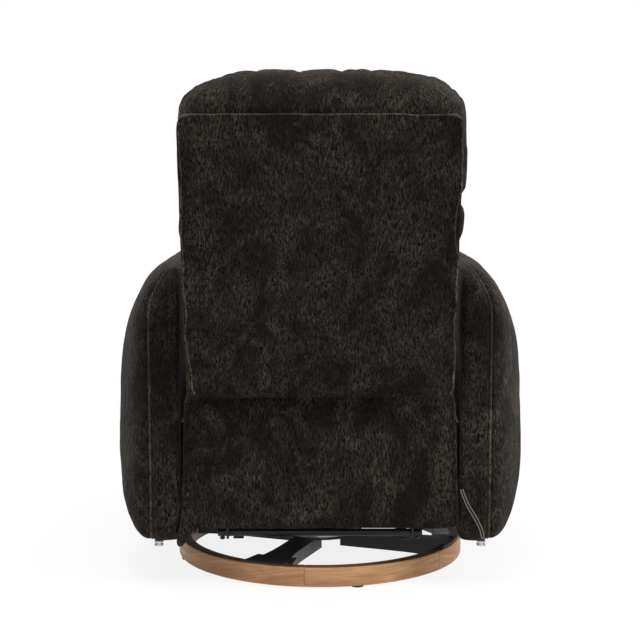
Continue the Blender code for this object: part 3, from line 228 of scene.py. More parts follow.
def sky():
    """Soft light from all sides, seen as pure white."""
    world = bpy.data.worlds.new("studio")
    world.use_nodes = True
    tree = world.node_tree
    tree.nodes.clear()
    shades = []
    for strength in (SKY_LIGHT, SKY_SEEN):
        shade = node(tree, "ShaderNodeBackground")
        shade.inputs["Color"].default_value = (1, 1, 1, 1)
        shade.inputs["Strength"].default_value = strength
        shades.append(shade)
    blended(tree, seen_straight(tree), *shades, "ShaderNodeOutputWorld")
    bpy.context.scene.world = world


def studio():
    backdrop()
    sky()
    for light in LIGHTS:
        area_light(*light)
    bpy.context.scene.view_settings.view_transform = "Standard"


# Materials

def chenille(name, deep, pale, bare):
    """Slubby cut pile: fine wandering ribs, crushed lighter patches and a fuzzy skin."""
    made, tree, spot = new_material(name)
    facing = node(tree, "ShaderNodeSeparateXYZ")
    tree.links.new(spot.node.outputs["Normal"], facing.inputs[0])
    level = ramp(tree, maths(tree, "ABSOLUTE", facing.outputs["Z"]), 0.60, 0.82)

    def pile(size, stretch, detail, rough, twist):
        """Noise drawn out along the height, or along the depth on a level face."""
        upright = noise_at(tree, spot, (1, 0.5, stretch), size, detail, rough, twist)
        lying = noise_at(tree, spot, (1, stretch, 1), size, detail, rough, twist)
        return mix_colour(tree, level, upright, lying)

    rib = pile(480, 0.24, 2, 0.60, 1.0)
    crush = pile(170, 0.50, 3, 0.60, 1.4)
    fuzz = noise_at(tree, spot, (1, 1, 1), 1500, 2, 0.7)
    patch = noise_at(tree, spot, (1, 1, 0.80), 12, 6, 0.70, 0.8)
    ridge = ramp(tree, rib, 0.43, 0.57)
    tuft = ramp(tree, crush, 0.38, 0.66, 0.40)
    worn = ramp(tree, patch, 0.42, 0.63, 0.16)
    shade = maths(tree, "MULTIPLY", maths(tree, "MULTIPLY", ridge, tuft), worn)
    pit = ramp(tree, rib, 0.34, 0.46, 0.85, 0.0)
    colour = mix_colour(tree, pit, mix_colour(tree, shade, deep, pale), bare)
    relief = bump(tree, fuzz, 0.0005, 0.5, bump(tree, rib, 0.0018, 1.0, bump(tree, crush, 0.0022, 0.7)))
    return finished(made, colour, 0.95, relief, Specular_IOR_Level=0.10, Sheen_Weight=0.085,
                    Sheen_Roughness=0.26, Sheen_Tint=(0.86, 0.79, 0.70))


def wood(name, pale, dark, along):
    """Straight-grained lacquered wood. along is the direction of the grain as scale factors."""
    made, tree, spot = new_material(name)
    broad = noise_at(tree, spot, along, 26, 3, 0.5, 0.9)
    grain = noise_at(tree, spot, along, 95, 6, 0.62, 0.4)
    pore = noise_at(tree, spot, along, 420, 2, 0.5)
    streak = maths(tree, "SUBTRACT", 1.0, ramp(tree, grain, 0.38, 0.58))
    colour = mix_colour(tree, ramp(tree, broad, 0.34, 0.68), dark, pale)
    colour = mix_colour(tree, maths(tree, "MULTIPLY", streak, 0.50), colour, times(dark, 0.58))
    return finished(made, colour, ramp(tree, grain, 0.3, 0.7, 0.56, 0.40), bump(tree, pore, 0.0003, 0.35),
                    Specular_IOR_Level=0.45)


def metal(name, colour, rough, metallic, speck, distance):
    """Painted or plated steel: slightly uneven gloss, with a fine skin."""
    made, tree, spot = new_material(name)
    cloud = noise_at(tree, spot, (1, 1, 1), 14, 4, 0.6)
    skin = noise_at(tree, spot, (1, 1, 1), speck, 3, 0.6)
    tone = mix_colour(tree, ramp(tree, cloud, 0.35, 0.7), times(colour, 0.82), colour)
    gloss = ramp(tree, cloud, 0.3, 0.7, rough * 0.85, rough * 1.2)
    return finished(made, tone, gloss, bump(tree, skin, distance, 0.5), Metallic=metallic)


def brushed(name, colour, rough, along):
    made, tree, spot = new_material(name)
    lines = noise_at(tree, spot, along, 300, 3, 0.6)
    cloud = noise_at(tree, spot, (1, 1, 1), 20, 3, 0.6)
    tone = mix_colour(tree, ramp(tree, cloud, 0.3, 0.7), times(colour, 0.78), colour)
    gloss = ramp(tree, lines, 0.3, 0.7, rough * 0.8, rough * 1.25)
    return finished(made, tone, gloss, bump(tree, lines, 0.0002, 0.4), Metallic=1.0)


def speckled(name, dark, pale, noise_values, rough, relief, **others):
    """One fine noise that drives both the colour and the relief."""
    made, tree, spot = new_material(name)
    skin = noise_at(tree, spot, *noise_values)
    tone = mix_colour(tree, skin, dark, pale)
    return finished(made, tone, rough, bump(tree, skin, *relief), **others)


def plain_cloth(name, colour):
    """Thin woven cloth: fine threads both ways."""
    made, tree, spot = new_material(name)
    warp = noise_at(tree, spot, (1, 1, 0.08), 1300, 1, 0.5)
    weft = noise_at(tree, spot, (0.08, 0.08, 1), 1300, 1, 0.5)
    thread = maths(tree, "MAXIMUM", warp, weft)
    tone = mix_colour(tree, thread, times(colour, 0.5), times(colour, 1.5))
    return finished(made, tone, 0.92, bump(tree, thread, 0.0004, 0.7), Specular_IOR_Level=0.12)


DEEP = (0.0030, 0.0022, 0.0016)
PALE = (0.067, 0.0535, 0.042)
BARE = (0.0016, 0.0012, 0.0008)
RUBBER_GREY = (0.035, 0.035, 0.036)
CORD_GREY = (0.14, 0.135, 0.125)
FABRIC = chenille("chenille", DEEP, PALE, BARE)
# The welts' chenille, made lighter than the cover as painted highlight on their rounded edges.
PIPING_PAINTED_HIGHLIGHT = chenille("chenille_piping_painted_highlight", times(DEEP, 6.0), times(PALE, 2.6), DEEP)
FRAME_WOOD = wood("frame_wood", (0.62, 0.46, 0.29), (0.44, 0.31, 0.18), (0.10, 1, 1))
BLACK_STEEL = metal("black_steel", (0.022, 0.022, 0.024), 0.42, 0.55, 380, 0.0003)
ZINC = brushed("zinc_steel", (0.55, 0.56, 0.58), 0.32, (0.1, 1, 1))
SPRING = metal("spring_steel", (0.11, 0.11, 0.12), 0.32, 0.95, 500, 0.0002)
CLEAR = speckled("clear_plastic", (0.58, 0.60, 0.61), (0.80, 0.81, 0.82), ((1, 1, 1), 500, 2), 0.28,
                 (0.0003, 0.4), Transmission_Weight=0.35, IOR=1.46)
RUBBER = speckled("pad_rubber", times(RUBBER_GREY, 0.8), RUBBER_GREY, ((1, 1, 1), 700, 2), 0.75,
                  (0.0003, 0.4))
LINING = plain_cloth("lining_black", (0.0075, 0.0068, 0.0062))
SCREW = brushed("screw_steel", (0.055, 0.055, 0.058), 0.36, (1, 1, 1))
CORD = speckled("cord_grey", times(CORD_GREY, 0.55), CORD_GREY, ((1, 1, 2.2), 900, 2, 0.6), 0.7,
                (0.0005, 0.6), Sheen_Weight=0.2)


def finish_nodes():
    """Each node that stays gets the material of its slot."""
    finishes = {"frame_wood": FRAME_WOOD, "black_steel": BLACK_STEEL, "zinc_steel": ZINC,
                "spring_steel": SPRING, "clear_plastic": CLEAR, "floor_pad": RUBBER,
                "cord": CORD, "upholstery": FABRIC}
    for part in frame["record"]["subparts"]:
        item = frame["nodes"][part["node"]]
        chosen = finishes.get(part["material_slot"])
        if chosen is None:
            continue
        if item.material_slots:
            for place in item.material_slots:
                place.material = chosen
        else:
            item.data.materials.append(chosen)


# Mesh tools

def item_from(name, points, faces, material):
    mesh = bpy.data.meshes.new(name)
    mesh.from_pydata([tuple(p) for p in points], [], faces)
    work = bmesh.new()
    work.from_mesh(mesh)
    bmesh.ops.recalc_face_normals(work, faces=work.faces)
    for face in work.faces:
        face.smooth = True
    work.to_mesh(mesh)
    work.free()
    mesh.materials.append(material)
    made = bpy.data.objects.new(name, mesh)
    bpy.context.collection.objects.link(made)
    return made


def evaluated(item):
    """Put the mesh with its modifiers in the place of the item's own mesh."""
    view = bpy.context.evaluated_depsgraph_get()
    fresh = bpy.data.meshes.new_from_object(item.evaluated_get(view))
    fresh.name = item.name
    old = item.data
    item.modifiers.clear()
    item.data = fresh
    bpy.data.meshes.remove(old)
    for face in fresh.polygons:
        face.use_smooth = True


def subdivided(item):
    item.modifiers.new("round", "SUBSURF").levels = 1
    evaluated(item)


def remeshed(item, voxel):
    grid = item.modifiers.new("grid", "REMESH")
    grid.mode = "VOXEL"
    grid.voxel_size = voxel
    evaluated(item)


def relaxed(item, rounds):
    work = bmesh.new()
    work.from_mesh(item.data)
    for _ in range(rounds):
        bmesh.ops.smooth_vert(work, verts=work.verts, factor=0.5,
                              use_axis_x=True, use_axis_y=True, use_axis_z=True)
    work.to_mesh(item.data)
    work.free()


def crinkled(item, layers, keep=None):
    """Move the surface in and out by noise. A layer is (scale x, y, z, depth, seed).
    keep(point) says how much of it a point takes."""
    mesh = item.data
    normals = [v.normal.copy() for v in mesh.vertices]
    for spot, normal in zip(mesh.vertices, normals):
        p = spot.co
        push = sum(depth * noise.noise(Vector((p.x * a + seed, p.y * b - seed, p.z * c + 2 * seed)))
                   for a, b, c, depth, seed in layers)
        spot.co = p + normal * push * (keep(p) if keep else 1.0)
    mesh.update()


def soft_limit(value, low, high, soft):
    """The value, eased to a stop before either limit."""
    if value > high - soft:
        return high - soft * math.exp((high - soft - value) / soft)
    if value < low + soft:
        return low + soft * math.exp((value - low - soft) / soft)
    return value


SWELL_FRAMES = 20
SWELL_CLOTH = {
    "quality": 4, "mass": 0.3,
    "tension_stiffness": 12, "compression_stiffness": 12, "shear_stiffness": 4, "bending_stiffness": 0.3,
    "use_pressure": True, "uniform_pressure_force": 4,
}
LEAST_HOLD = 0.001           # a looser hold than this is none


def puffed(item, voxel, cap, growth, held, within):
    """Swell a padded piece as cloth with a little pressure in it. held(point) is how firmly a
    point is sewn or pressed down, and within(point) keeps a point in the room of the piece."""
    remeshed(item, voxel)
    mesh = item.data
    rest = [v.co.copy() for v in mesh.vertices]
    group = item.vertex_groups.new(name="held")
    for k, p in enumerate(rest):
        share = held(p)
        if share > LEAST_HOLD:
            group.add([k], min(1.0, share), "REPLACE")
    cloth = item.modifiers.new("swell", "CLOTH")
    cloth.settings.vertex_group_mass = "held"
    for name, value in SWELL_CLOTH.items():
        setattr(cloth.settings, name, value)
    cloth.settings.shrink_min = -growth
    cloth.settings.effector_weights.gravity = 0
    cloth.point_cache.frame_start = 1
    cloth.point_cache.frame_end = SWELL_FRAMES
    stage = bpy.context.scene
    for step in range(1, SWELL_FRAMES + 1):
        stage.frame_set(step)
    view = bpy.context.evaluated_depsgraph_get()
    moved = [v.co.copy() for v in item.evaluated_get(view).data.vertices]
    item.modifiers.remove(cloth)
    stage.frame_set(1)
    for spot, was, now in zip(mesh.vertices, rest, moved):
        push = now - was
        if push.length > cap:
            push *= cap / push.length
        spot.co = within(was + push)
    item.vertex_groups.clear()
    subdivided(item)


def tube(name, route, radius, material, closed=False):
    """A round cord through a list of points."""
    sides = 8
    count = len(route)
    spots = [Vector(p) for p in route]
    points, faces = [], []
    across = None
    for i, p in enumerate(spots):
        before = spots[i - 1] if closed or i else spots[i]
        after = spots[(i + 1) % count] if closed or i < count - 1 else spots[i]
        ahead = (after - before).normalized()
        if across is None:
            across = ahead.orthogonal().normalized()
        across = (across - ahead * across.dot(ahead)).normalized()
        other = ahead.cross(across)
        for k in range(sides):
            angle = math.tau * k / sides
            points.append(p + radius * (math.cos(angle) * across + math.sin(angle) * other))
    for i in range(count if closed else count - 1):
        j = (i + 1) % count
        shift = 0
        if closed and j == 0:
            first = points[0]
            shift = min(range(sides), key=lambda k: (points[i * sides + k] - first).length)
        for k in range(sides):
            m = (k + 1) % sides
            a, b = (k + shift) % sides, (m + shift) % sides
            faces.append([i * sides + a, i * sides + b, j * sides + m, j * sides + k])
    if not closed:
        faces.append(list(range(sides)))
        faces.append(list(range((count - 1) * sides, count * sides)))
    return item_from(name, points, faces, material)


def loft(rings):
    """Points and faces of a capped skin over rings of equally many points."""
    size = len(rings[0])
    last = (len(rings) - 1) * size
    faces = []
    for start in range(0, last, size):
        for i in range(size):
            j = (i + 1) % size
            faces.append([start + i, start + j, start + size + j, start + size + i])
    faces += [list(range(size)), list(range(last, last + size))]
    return [p for ring in rings for p in ring], faces


def between(low, high, count):
    """Evenly spaced values from low to high."""
    return [low + (high - low) * k / (count - 1) for k in range(count)]


def smooth_route(route, count):
    """A smooth line of count points that passes through the points of the route."""
    spots = [Vector(p) for p in route]
    spots = [2 * spots[0] - spots[1]] + spots + [2 * spots[-1] - spots[-2]]
    spans = len(spots) - 3
    result = []
    for i in range(count):
        place_on = spans * i / (count - 1)
        k = min(int(place_on), spans - 1)
        t = place_on - k
        a, b, c, d = spots[k:k + 4]
        result.append(((2 * b) + (c - a) * t + (2 * a - 5 * b + 4 * c - d) * t * t
                       + (3 * b - 3 * c + d - a) * t * t * t) / 2)
    return result


def rounded(corners, steps):
    """An outline through corners (a, b, radius), each corner an arc of its radius."""
    outline = []
    count = len(corners)
    for i, (a, b, radius) in enumerate(corners):
        here = Vector((a, b))
        back = (Vector(corners[i - 1][:2]) - here).normalized()
        ahead = (Vector(corners[(i + 1) % count][:2]) - here).normalized()
        half = back.angle(ahead) / 2
        middle = here + (back + ahead).normalized() * (radius / math.sin(half))
        start = here + back * (radius / math.tan(half)) - middle
        sweep = start.angle_signed(here + ahead * (radius / math.tan(half)) - middle)
        for k in range(steps + 1):
            arm = start.copy()
            arm.rotate(Matrix.Rotation(-sweep * k / steps, 2))
            outline.append(tuple(middle + arm))
    return outline


def box_round(half_width, low, high, radius, count, steps=8):
    """Points round a rounded rectangle about the middle plane."""
    corners = [(-half_width, low, radius), (half_width, low, radius),
               (half_width, high, radius), (-half_width, high, radius)]
    return evenly(rounded(corners, steps), count)


def evenly(outline, count, closed=True):
    """The same line with evenly many points."""
    spots = [Vector(p) for p in outline]
    if closed:
        spots.append(spots[0])
    lengths = [0.0]
    for a, b in zip(spots, spots[1:]):
        lengths.append(lengths[-1] + (b - a).length)
    result = []
    k = 0
    for i in range(count):
        want = lengths[-1] * i / (count if closed else count - 1)
        while k < len(spots) - 2 and lengths[k + 1] < want:
            k += 1
        share = (want - lengths[k]) / max(1e-9, lengths[k + 1] - lengths[k])
        result.append(spots[k].lerp(spots[k + 1], min(1.0, share)))
    return result


def pillow(name, half, divisions, corner, dome, rear_dome, shape, material):
    """A cushion about the origin. corner, dome and rear_dome are powers of its outline, of its
    front and of its rear. shape(u, v, w, point) bends and places its surface."""
    index, points, faces = {}, [], []

    def spot(cell):
        if cell not in index:
            u, v, w = (2 * c / d - 1 for c, d in zip(cell, divisions))
            power = corner(u, v)
            reach = (abs(u) ** power + abs(v) ** power) ** (1 / power)
            bulge = dome if w > 0 else rear_dome(u, v)
            pull = (reach ** bulge + abs(w) ** bulge) ** (-1 / bulge)
            point = Vector((half[0] * u * pull, half[1] * v * pull, half[2] * w * pull))
            index[cell] = len(points)
            points.append(shape(u, v, w, point))
        return index[cell]

    for fixed in range(3):
        first, second = [k for k in range(3) if k != fixed]
        for side in (0, divisions[fixed]):
            for i in range(divisions[first]):
                for j in range(divisions[second]):
                    corners = []
                    for di, dj in ((0, 0), (1, 0), (1, 1), (0, 1)):
                        cell = [0, 0, 0]
                        cell[fixed] = side
                        cell[first] = i + di
                        cell[second] = j + dj
                        corners.append(spot(tuple(cell)))
                    faces.append(corners)
    return item_from(name, points, faces, material)


def sheet(name, half, divisions, shape, material, corner=20):
    """A thin flat piece of cloth about the origin."""
    return pillow(name, half, divisions, lambda u, v: corner, 3, lambda u, v: 3, shape, material)


def ease(value):
    value = min(1.0, max(0.0, value))
    return value * value * (3 - 2 * value)


def ramped(value, ends):
    """0 before the first of two ends, 1 past the second, and eased between them."""
    return ease((value - ends[0]) / (ends[1] - ends[0]))


def seam_route(item, starts, ahead, sink):
    """Points where rays from the starts meet the item, pushed a little in along its normal."""
    mesh = item.data
    sides = [tuple(f.vertices) for f in mesh.polygons]
    tree = BVHTree.FromPolygons([v.co.copy() for v in mesh.vertices], sides)
    route = []
    for start, way in zip(starts, ahead):
        spot, normal, _, _ = tree.ray_cast(Vector(start), Vector(way).normalized())
        if spot is not None:
            route.append(spot - normal * sink)
    return route


def softened(route, rounds, closed):
    """The same line with its small steps evened out."""
    line = [Vector(p) for p in route]
    count = len(line)
    for _ in range(rounds):
        fresh = []
        for i, p in enumerate(line):
            if not closed and i in (0, count - 1):
                fresh.append(p)
            else:
                fresh.append(p * 0.5 + (line[i - 1] + line[(i + 1) % count]) * 0.25)
        line = fresh
    return line


def whole(item, body, slot, *nodes, fill=None):
    """The piece stands for its nodes and moves with its body."""
    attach(item, body)
    if nodes:
        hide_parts(*nodes)
    return item


def welt(name, item, starts, ways, sink, rounds, radius, body, closed=True, keep=None):
    """Piping, in the chenille copy lightened as painted highlight, along the line where rays from the starts
    meet the item. keep(point) limits it.
    """
    route = softened(seam_route(item, starts, ways, sink), rounds, closed)
    if keep is not None:
        route = [keep(p) for p in route]
    whole(tube(name, route, radius, PIPING_PAINTED_HIGHLIGHT, closed), body, "upholstery")


# Tie cord on the rear of the right arm

CORD_RADIUS = 0.0010
CORD_DEPTH = 0.2796
CORD_STEPS = 140
CORD_ROUTE = (
    # x and z from the seam to the clip and back
    (-0.2630, 0.190), (-0.2680, 0.176), (-0.2760, 0.157), (-0.2860, 0.140),
    (-0.2960, 0.122), (-0.3010, 0.110), (-0.3035, 0.1000), (-0.3060, 0.0960),
    (-0.3085, 0.1000), (-0.3050, 0.114), (-0.2985, 0.128), (-0.2905, 0.143),
    (-0.2800, 0.160), (-0.2720, 0.178), (-0.2675, 0.191),
)


def tie_cord():
    """One thin cord, doubled, from the seam beside the lower panel down to the clip and back."""
    path = smooth_route([(x, CORD_DEPTH, z) for x, z in CORD_ROUTE], CORD_STEPS)
    made = tube("tie_cord_line", path, CORD_RADIUS, CORD)
    whole(made, "seat", "cord", "tie_cord")
    length = sum((b - a).length for a, b in zip(path, path[1:]))
    tuple(path[0])
    [tuple(p) for p in path]


# Floor ring

RING_RADIUS = 0.287
RING_WIDTH = 0.025
RING_LOW = 0.003
RING_HIGH = 0.041
RING_JOINTS = 6
RING_FIRST_JOINT = math.radians(84)
RING_STEPS = 44              # of one length
RING_JOINT_GAP = 0.00022
RING_UNDER_EDGES = (0.0025, 0.003)
RING_TOP_EDGE = 0.0042
RING_EASED_ENDS = ((0, 0.0011), (0.0012, 0.00025), (0.0035, 0))     # radians from the end, inset
RING_TONES = (
    # lightness and warmth of each length
    (1.00, 1.0), (0.94, 1.04), (1.04, 0.97), (0.97, 1.02), (1.05, 0.99), (0.92, 1.03),
)
RING_GRAIN_RADIUS = 0.28     # at which an angle is counted as a length of grain
# Painted shade: a dark brown over the ring's top and inner faces, standing in for the shade under the chair.
RING_PAINTED_SHADE = (0.036, 0.021, 0.013)
RING_PAINTED_SHADE_SHARE = 0.86
RING_PAINTED_SHADE_RADII = (0.2626, 0.2634)
RING_PAINTED_SHADE_HEIGHTS = (0.0402, 0.0409)


def ring_piece(index):
    """One bent length of the ring, with eased ends."""
    inner, outer = RING_RADIUS - RING_WIDTH, RING_RADIUS
    profile = rounded([(inner, RING_LOW, RING_UNDER_EDGES[0]), (outer, RING_LOW, RING_UNDER_EDGES[1]),
                       (outer, RING_HIGH, RING_TOP_EDGE), (inner, RING_HIGH, RING_TOP_EDGE)], 4)
    middle = ((inner + outer) / 2, (RING_LOW + RING_HIGH) / 2)
    half = (RING_WIDTH / 2, (RING_HIGH - RING_LOW) / 2)
    sweep = math.tau / RING_JOINTS
    gap = RING_JOINT_GAP / outer
    stations = [(gap + run, inset) for run, inset in RING_EASED_ENDS]
    stations += [(sweep * k / RING_STEPS, 0) for k in range(1, RING_STEPS)]
    stations += [(sweep - gap - run, inset) for run, inset in reversed(RING_EASED_ENDS)]
    rings = []
    for turn, inset in stations:
        turn += RING_FIRST_JOINT + sweep * index
        ring = []
        for r, z in profile:
            r += (middle[0] - r) * inset / half[0]
            z += (middle[1] - z) * inset / half[1]
            ring.append((r * math.cos(turn), r * math.sin(turn), z))
        rings.append(ring)
    return loft(rings)


def ring_wood(index, lift, warm):
    """Wood of one length of the ring: the grain runs round, as angle and radius give it. Its top and inner
    faces are darkened by painted shade.
    """
    made, tree, spot = new_material(f"ring_wood_{index + 1}")
    split = node(tree, "ShaderNodeSeparateXYZ")
    feed(tree, split.inputs[0], spot)
    x, y, z = split.outputs
    mid = RING_FIRST_JOINT + math.tau * (index + 0.5) / RING_JOINTS
    mid = (mid + math.pi) % math.tau - math.pi
    turned = maths(tree, "SUBTRACT", maths(tree, "ARCTAN2", y, x), mid)
    turned = maths(tree, "WRAP", turned, math.pi, -math.pi)
    square = maths(tree, "ADD", maths(tree, "MULTIPLY", x, x), maths(tree, "MULTIPLY", y, y))
    radius = maths(tree, "SQRT", square)
    slant = 0.35 * math.sin(index * 2.4)
    join = node(tree, "ShaderNodeCombineXYZ")
    for slot, value in zip(join.inputs, (
            maths(tree, "MULTIPLY", turned, RING_GRAIN_RADIUS), maths(tree, "ADD", radius, index * 0.37),
            maths(tree, "ADD", z, maths(tree, "MULTIPLY", turned, RING_GRAIN_RADIUS * slant)))):
        feed(tree, slot, value)
    bent = join.outputs[0]
    broad = noise_at(tree, bent, (0.16, 1, 1), 55, 4, 0.55, 1.2)
    grain = noise_at(tree, bent, (0.045, 1, 1), 330, 5, 0.6, 0.3)
    pore = noise_at(tree, bent, (0.06, 1, 1), 900, 2, 0.5)
    pale = times((0.50, 0.275 * (2 - warm), 0.125 * (2 - warm)), lift)
    dark = times((0.34, 0.160, 0.064), lift)
    streak = maths(tree, "SUBTRACT", 1.0, ramp(tree, grain, 0.36, 0.56))
    colour = mix_colour(tree, ramp(tree, broad, 0.32, 0.66), dark, pale)
    colour = mix_colour(tree, maths(tree, "MULTIPLY", streak, 0.42), colour, times(dark, 0.52))
    # Painted shade on the top and inner faces of the ring, mixed over the wood.
    above = ramp(tree, maths(tree, "MULTIPLY", z, 10), *times(RING_PAINTED_SHADE_HEIGHTS, 10))
    inside = ramp(tree, radius, *RING_PAINTED_SHADE_RADII, 1, 0)
    painted_shade = maths(tree, "MULTIPLY", maths(tree, "MAXIMUM", above, inside), RING_PAINTED_SHADE_SHARE)
    return finished(made, mix_colour(tree, painted_shade, colour, RING_PAINTED_SHADE),
                    ramp(tree, grain, 0.3, 0.7, 0.55, 0.40), bump(tree, pore, 0.0003, 0.4),
                    Specular_IOR_Level=0.4)


def floor_ring():
    for index, tone in enumerate(RING_TONES):
        made = item_from(f"ring_length_{index + 1}", *ring_piece(index), ring_wood(index, *tone))
        whole(made, "base", "ring_wood", "base_ring")


# Back, in its own frame: x, height up the lean, and depth to the rear of the outer face

LEAN = math.radians(11)
FOOT = Vector((0, 0.303, 0.373))
UP = Vector((0, math.sin(LEAN), math.cos(LEAN)))
REARWARD = Vector((0, math.cos(LEAN), -math.sin(LEAN)))
PANEL_HEIGHT = 0.525
PANEL_TOP = 0.2535           # half-widths of the outside panel
PANEL_FOOT = 0.2475
PANEL_HALF_DEPTH = 0.0052
PANEL_SINK = 0.0032          # of its middle plane, before the rear face
PANEL_DROP = 0.0050          # of its lower edge
PANEL_SWELL = 0.0022
PANEL_WAVE = 0.0014          # of its upper edge
PANEL_WAVY = (0.500, 0.520)  # heights between which the wave sets in
PANEL_CRINKLES = ((14, 14, 9, 0.0016, 3.1), (60, 60, 26, 0.0007, 8.3))
BACK_WELT = 0.0018
BACK_WELT_ENDS = (0.002, 0.511)
BACK_WELT_DEPTH = -0.0010
TOP_WELT = 0.0016
TOP_WELT_HALF = 0.242
TOP_WELT_DEPTH = -0.0024
WELT_ROOM = 0.035            # from which rays are cast at the edges
WELT_SINK = 0.0003
WELT_STEPS = 150
FRAME_HALF = 0.2270          # half-width of the frame inside
FRAME_FRONT = 0.0333         # how far its front is from the outer face


def on_back(x, height, depth):
    return Vector((x, 0, 0)) + FOOT + height * UP + depth * REARWARD


def off_back(point):
    """Height and depth of a point in the frame of the back."""
    arm = Vector(point) - FOOT
    return arm.dot(UP), arm.dot(REARWARD)


def panel_half_width(height):
    return PANEL_FOOT + (PANEL_TOP - PANEL_FOOT) * height / PANEL_HEIGHT


def outside_back():
    def shape(u, v, w, point):
        height = point.y + PANEL_HEIGHT / 2
        height -= PANEL_DROP * (1 - height / PANEL_HEIGHT)
        x = point.x * panel_half_width(height)
        swell = PANEL_SWELL * (1 - u ** 2) * (1 - v ** 2) if w > 0 else 0
        height += PANEL_WAVE * ramped(height, PANEL_WAVY) * noise.noise(Vector((x * 26, 2.2, 7.1)))
        return on_back(x, height, point.z - PANEL_SINK + swell)

    half = (1, PANEL_HEIGHT / 2, PANEL_HALF_DEPTH)
    made = pillow("outside_back", half, (56, 80, 16), lambda u, v: 26 if v > 0 else 70, 3.6,
                  lambda u, v: 4, shape, FABRIC)
    crinkled(made, PANEL_CRINKLES)
    subdivided(made)
    whole(made, "back", "upholstery", "outside_back_panel")
    for side, sign in SIDES:
        starts = [on_back(sign * (PANEL_TOP + WELT_ROOM), height, BACK_WELT_DEPTH)
                  for height in between(*BACK_WELT_ENDS, WELT_STEPS)]
        welt(f"outside_back_welt_{side}", made, starts, [(-sign, 0, 0)] * WELT_STEPS, WELT_SINK, 6,
             BACK_WELT, "back", closed=False)
    starts = [on_back(x, PANEL_HEIGHT + WELT_ROOM, TOP_WELT_DEPTH)
              for x in between(-TOP_WELT_HALF, TOP_WELT_HALF, WELT_STEPS)]
    welt("outside_back_welt_top", made, starts, [-UP] * WELT_STEPS, WELT_SINK, 6, TOP_WELT, "back",
         closed=False)


def band(name, outer, inner, depths, place, material, closed):
    """A flat band between two lines of equally many points, given depth. place(a, b, depth) sets
    a point."""
    points, faces = [], []
    size = len(outer)
    for line, depth in ((outer, depths[0]), (outer, depths[1]), (inner, depths[1]), (inner, depths[0])):
        points += [place(p[0], p[1], depth) for p in line]
    for ring in range(4):
        for i in range(size if closed else size - 1):
            j = (i + 1) % size
            a, b = ring * size, (ring + 1) % 4 * size
            faces.append([a + i, a + j, b + j, b + i])
    if not closed:
        faces.append([ring * size for ring in range(4)])
        faces.append([ring * size + size - 1 for ring in range(4)])
    return item_from(name, points, faces, material)


BOXING_DEPTHS = (-0.0070, -0.0420)
BOXING_FOOT = 0.0955
BOXING_OUTER = (0.2524, 0.5190, 0.014)     # half-width, top and corner
BOXING_INNER = (0.2440, 0.5075, 0.006)
LINING_HALF = (0.2434, 0.152, 0.0016)
LINING_MIDDLE = 0.2475
LINING_DEPTH = -0.0358
LINING_WAVE = 0.0004
APRON_HALF = (0.218, 0.0295, 0.0016)
APRON_MIDDLE = 0.0650
APRON_DEPTH = -0.0316
APRON_SAG = 0.0020
APRON_STIFF = (0.09, 0.04)                 # heights between which the sag sets in


def back_lining():
    """Cloth that closes the sides of the back, and cloth that shows between the rolls."""
    def arch(wide, high, corner):
        """Up one side, over a rounded corner, along the top and down the other side."""
        left = [(-wide, z) for z in between(BOXING_FOOT, high - corner, 41)]
        for k in range(1, 9):
            turn = math.pi / 2 * k / 8
            left.append((-wide + corner * (1 - math.cos(turn)), high - corner * (1 - math.sin(turn))))
        top = [(x, high) for x in between(corner - wide, wide - corner, 31)]
        return left + top[1:-1] + [(-x, z) for x, z in reversed(left)]

    def place(x, height, depth):
        return on_back(x * panel_half_width(height) / PANEL_TOP, height, depth)

    def lining(u, v, w, point):
        wave = LINING_WAVE * math.sin(point.x * 50)
        return place(point.x, point.y + LINING_MIDDLE, point.z + LINING_DEPTH + wave)

    def apron(u, v, w, point):
        height = point.y + APRON_MIDDLE
        sag = APRON_SAG * math.sin(point.x * 70) * ramped(height, APRON_STIFF)
        return on_back(point.x, height, point.z + APRON_DEPTH + sag)

    whole(band("back_boxing", arch(*BOXING_OUTER), arch(*BOXING_INNER), BOXING_DEPTHS, place, FABRIC, False),
          "back", "upholstery")
    for name, half, divisions, shape in (("back_lining", LINING_HALF, (40, 30, 2), lining),
                                         ("back_apron", APRON_HALF, (48, 10, 2), apron)):
        whole(sheet(name, half, divisions, shape, LINING), "back", "upholstery")


ROLLS = (
    # name, node, low, high, half width, front, rear, powers of the upper and lower corners
    ("lumbar_roll", "lumbar_cushion", 0.068, 0.190, 0.2570, 0.190, 0.0380, 9.0, 9.0),
    ("middle_roll", "middle_cushion", 0.191, 0.354, 0.2585, 0.186, 0.0380, 9.0, 9.0),
    ("head_roll", "head_cushion", 0.355, 0.583, 0.2630, 0.200, 0.0086, 3.3, 9.0),
)
ROLL_SLACK = 0.009         # by which a roll starts smaller than it swells
ROLL_SHIFT = 0.0040                        # toward the right arm, above the arms
ROLL_SHIFTED = (0.27, 0.35)                # heights between which it sets in
ROLL_FLARE = 0.026                         # share by which the middle roll is wider above the arms
ROLL_FLARED = (0.262, 0.297)
ROLL_VOXEL = 0.0058
ROLL_CAP = 0.026                           # longest way that a point swells
ROLL_GROWTH = 0.045
ROLL_SEAM = 0.030                          # from the roll's ends
ROLL_SEAM_REACH = 0.0055
HEAD_ROOM = 0.007                          # above the solid's top
NOOK = FRAME_FRONT + 0.0006                # depth of the head roll's recess for the frame
NOOK_SIDE = FRAME_HALF + 0.006
NOOK_TOP = 0.506
NOOK_EASE = 0.005


def shift_at(height):
    return ROLL_SHIFT * ramped(height, ROLL_SHIFTED)


def flare_at(height):
    return 1 + ROLL_FLARE * ramped(height, ROLL_FLARED)


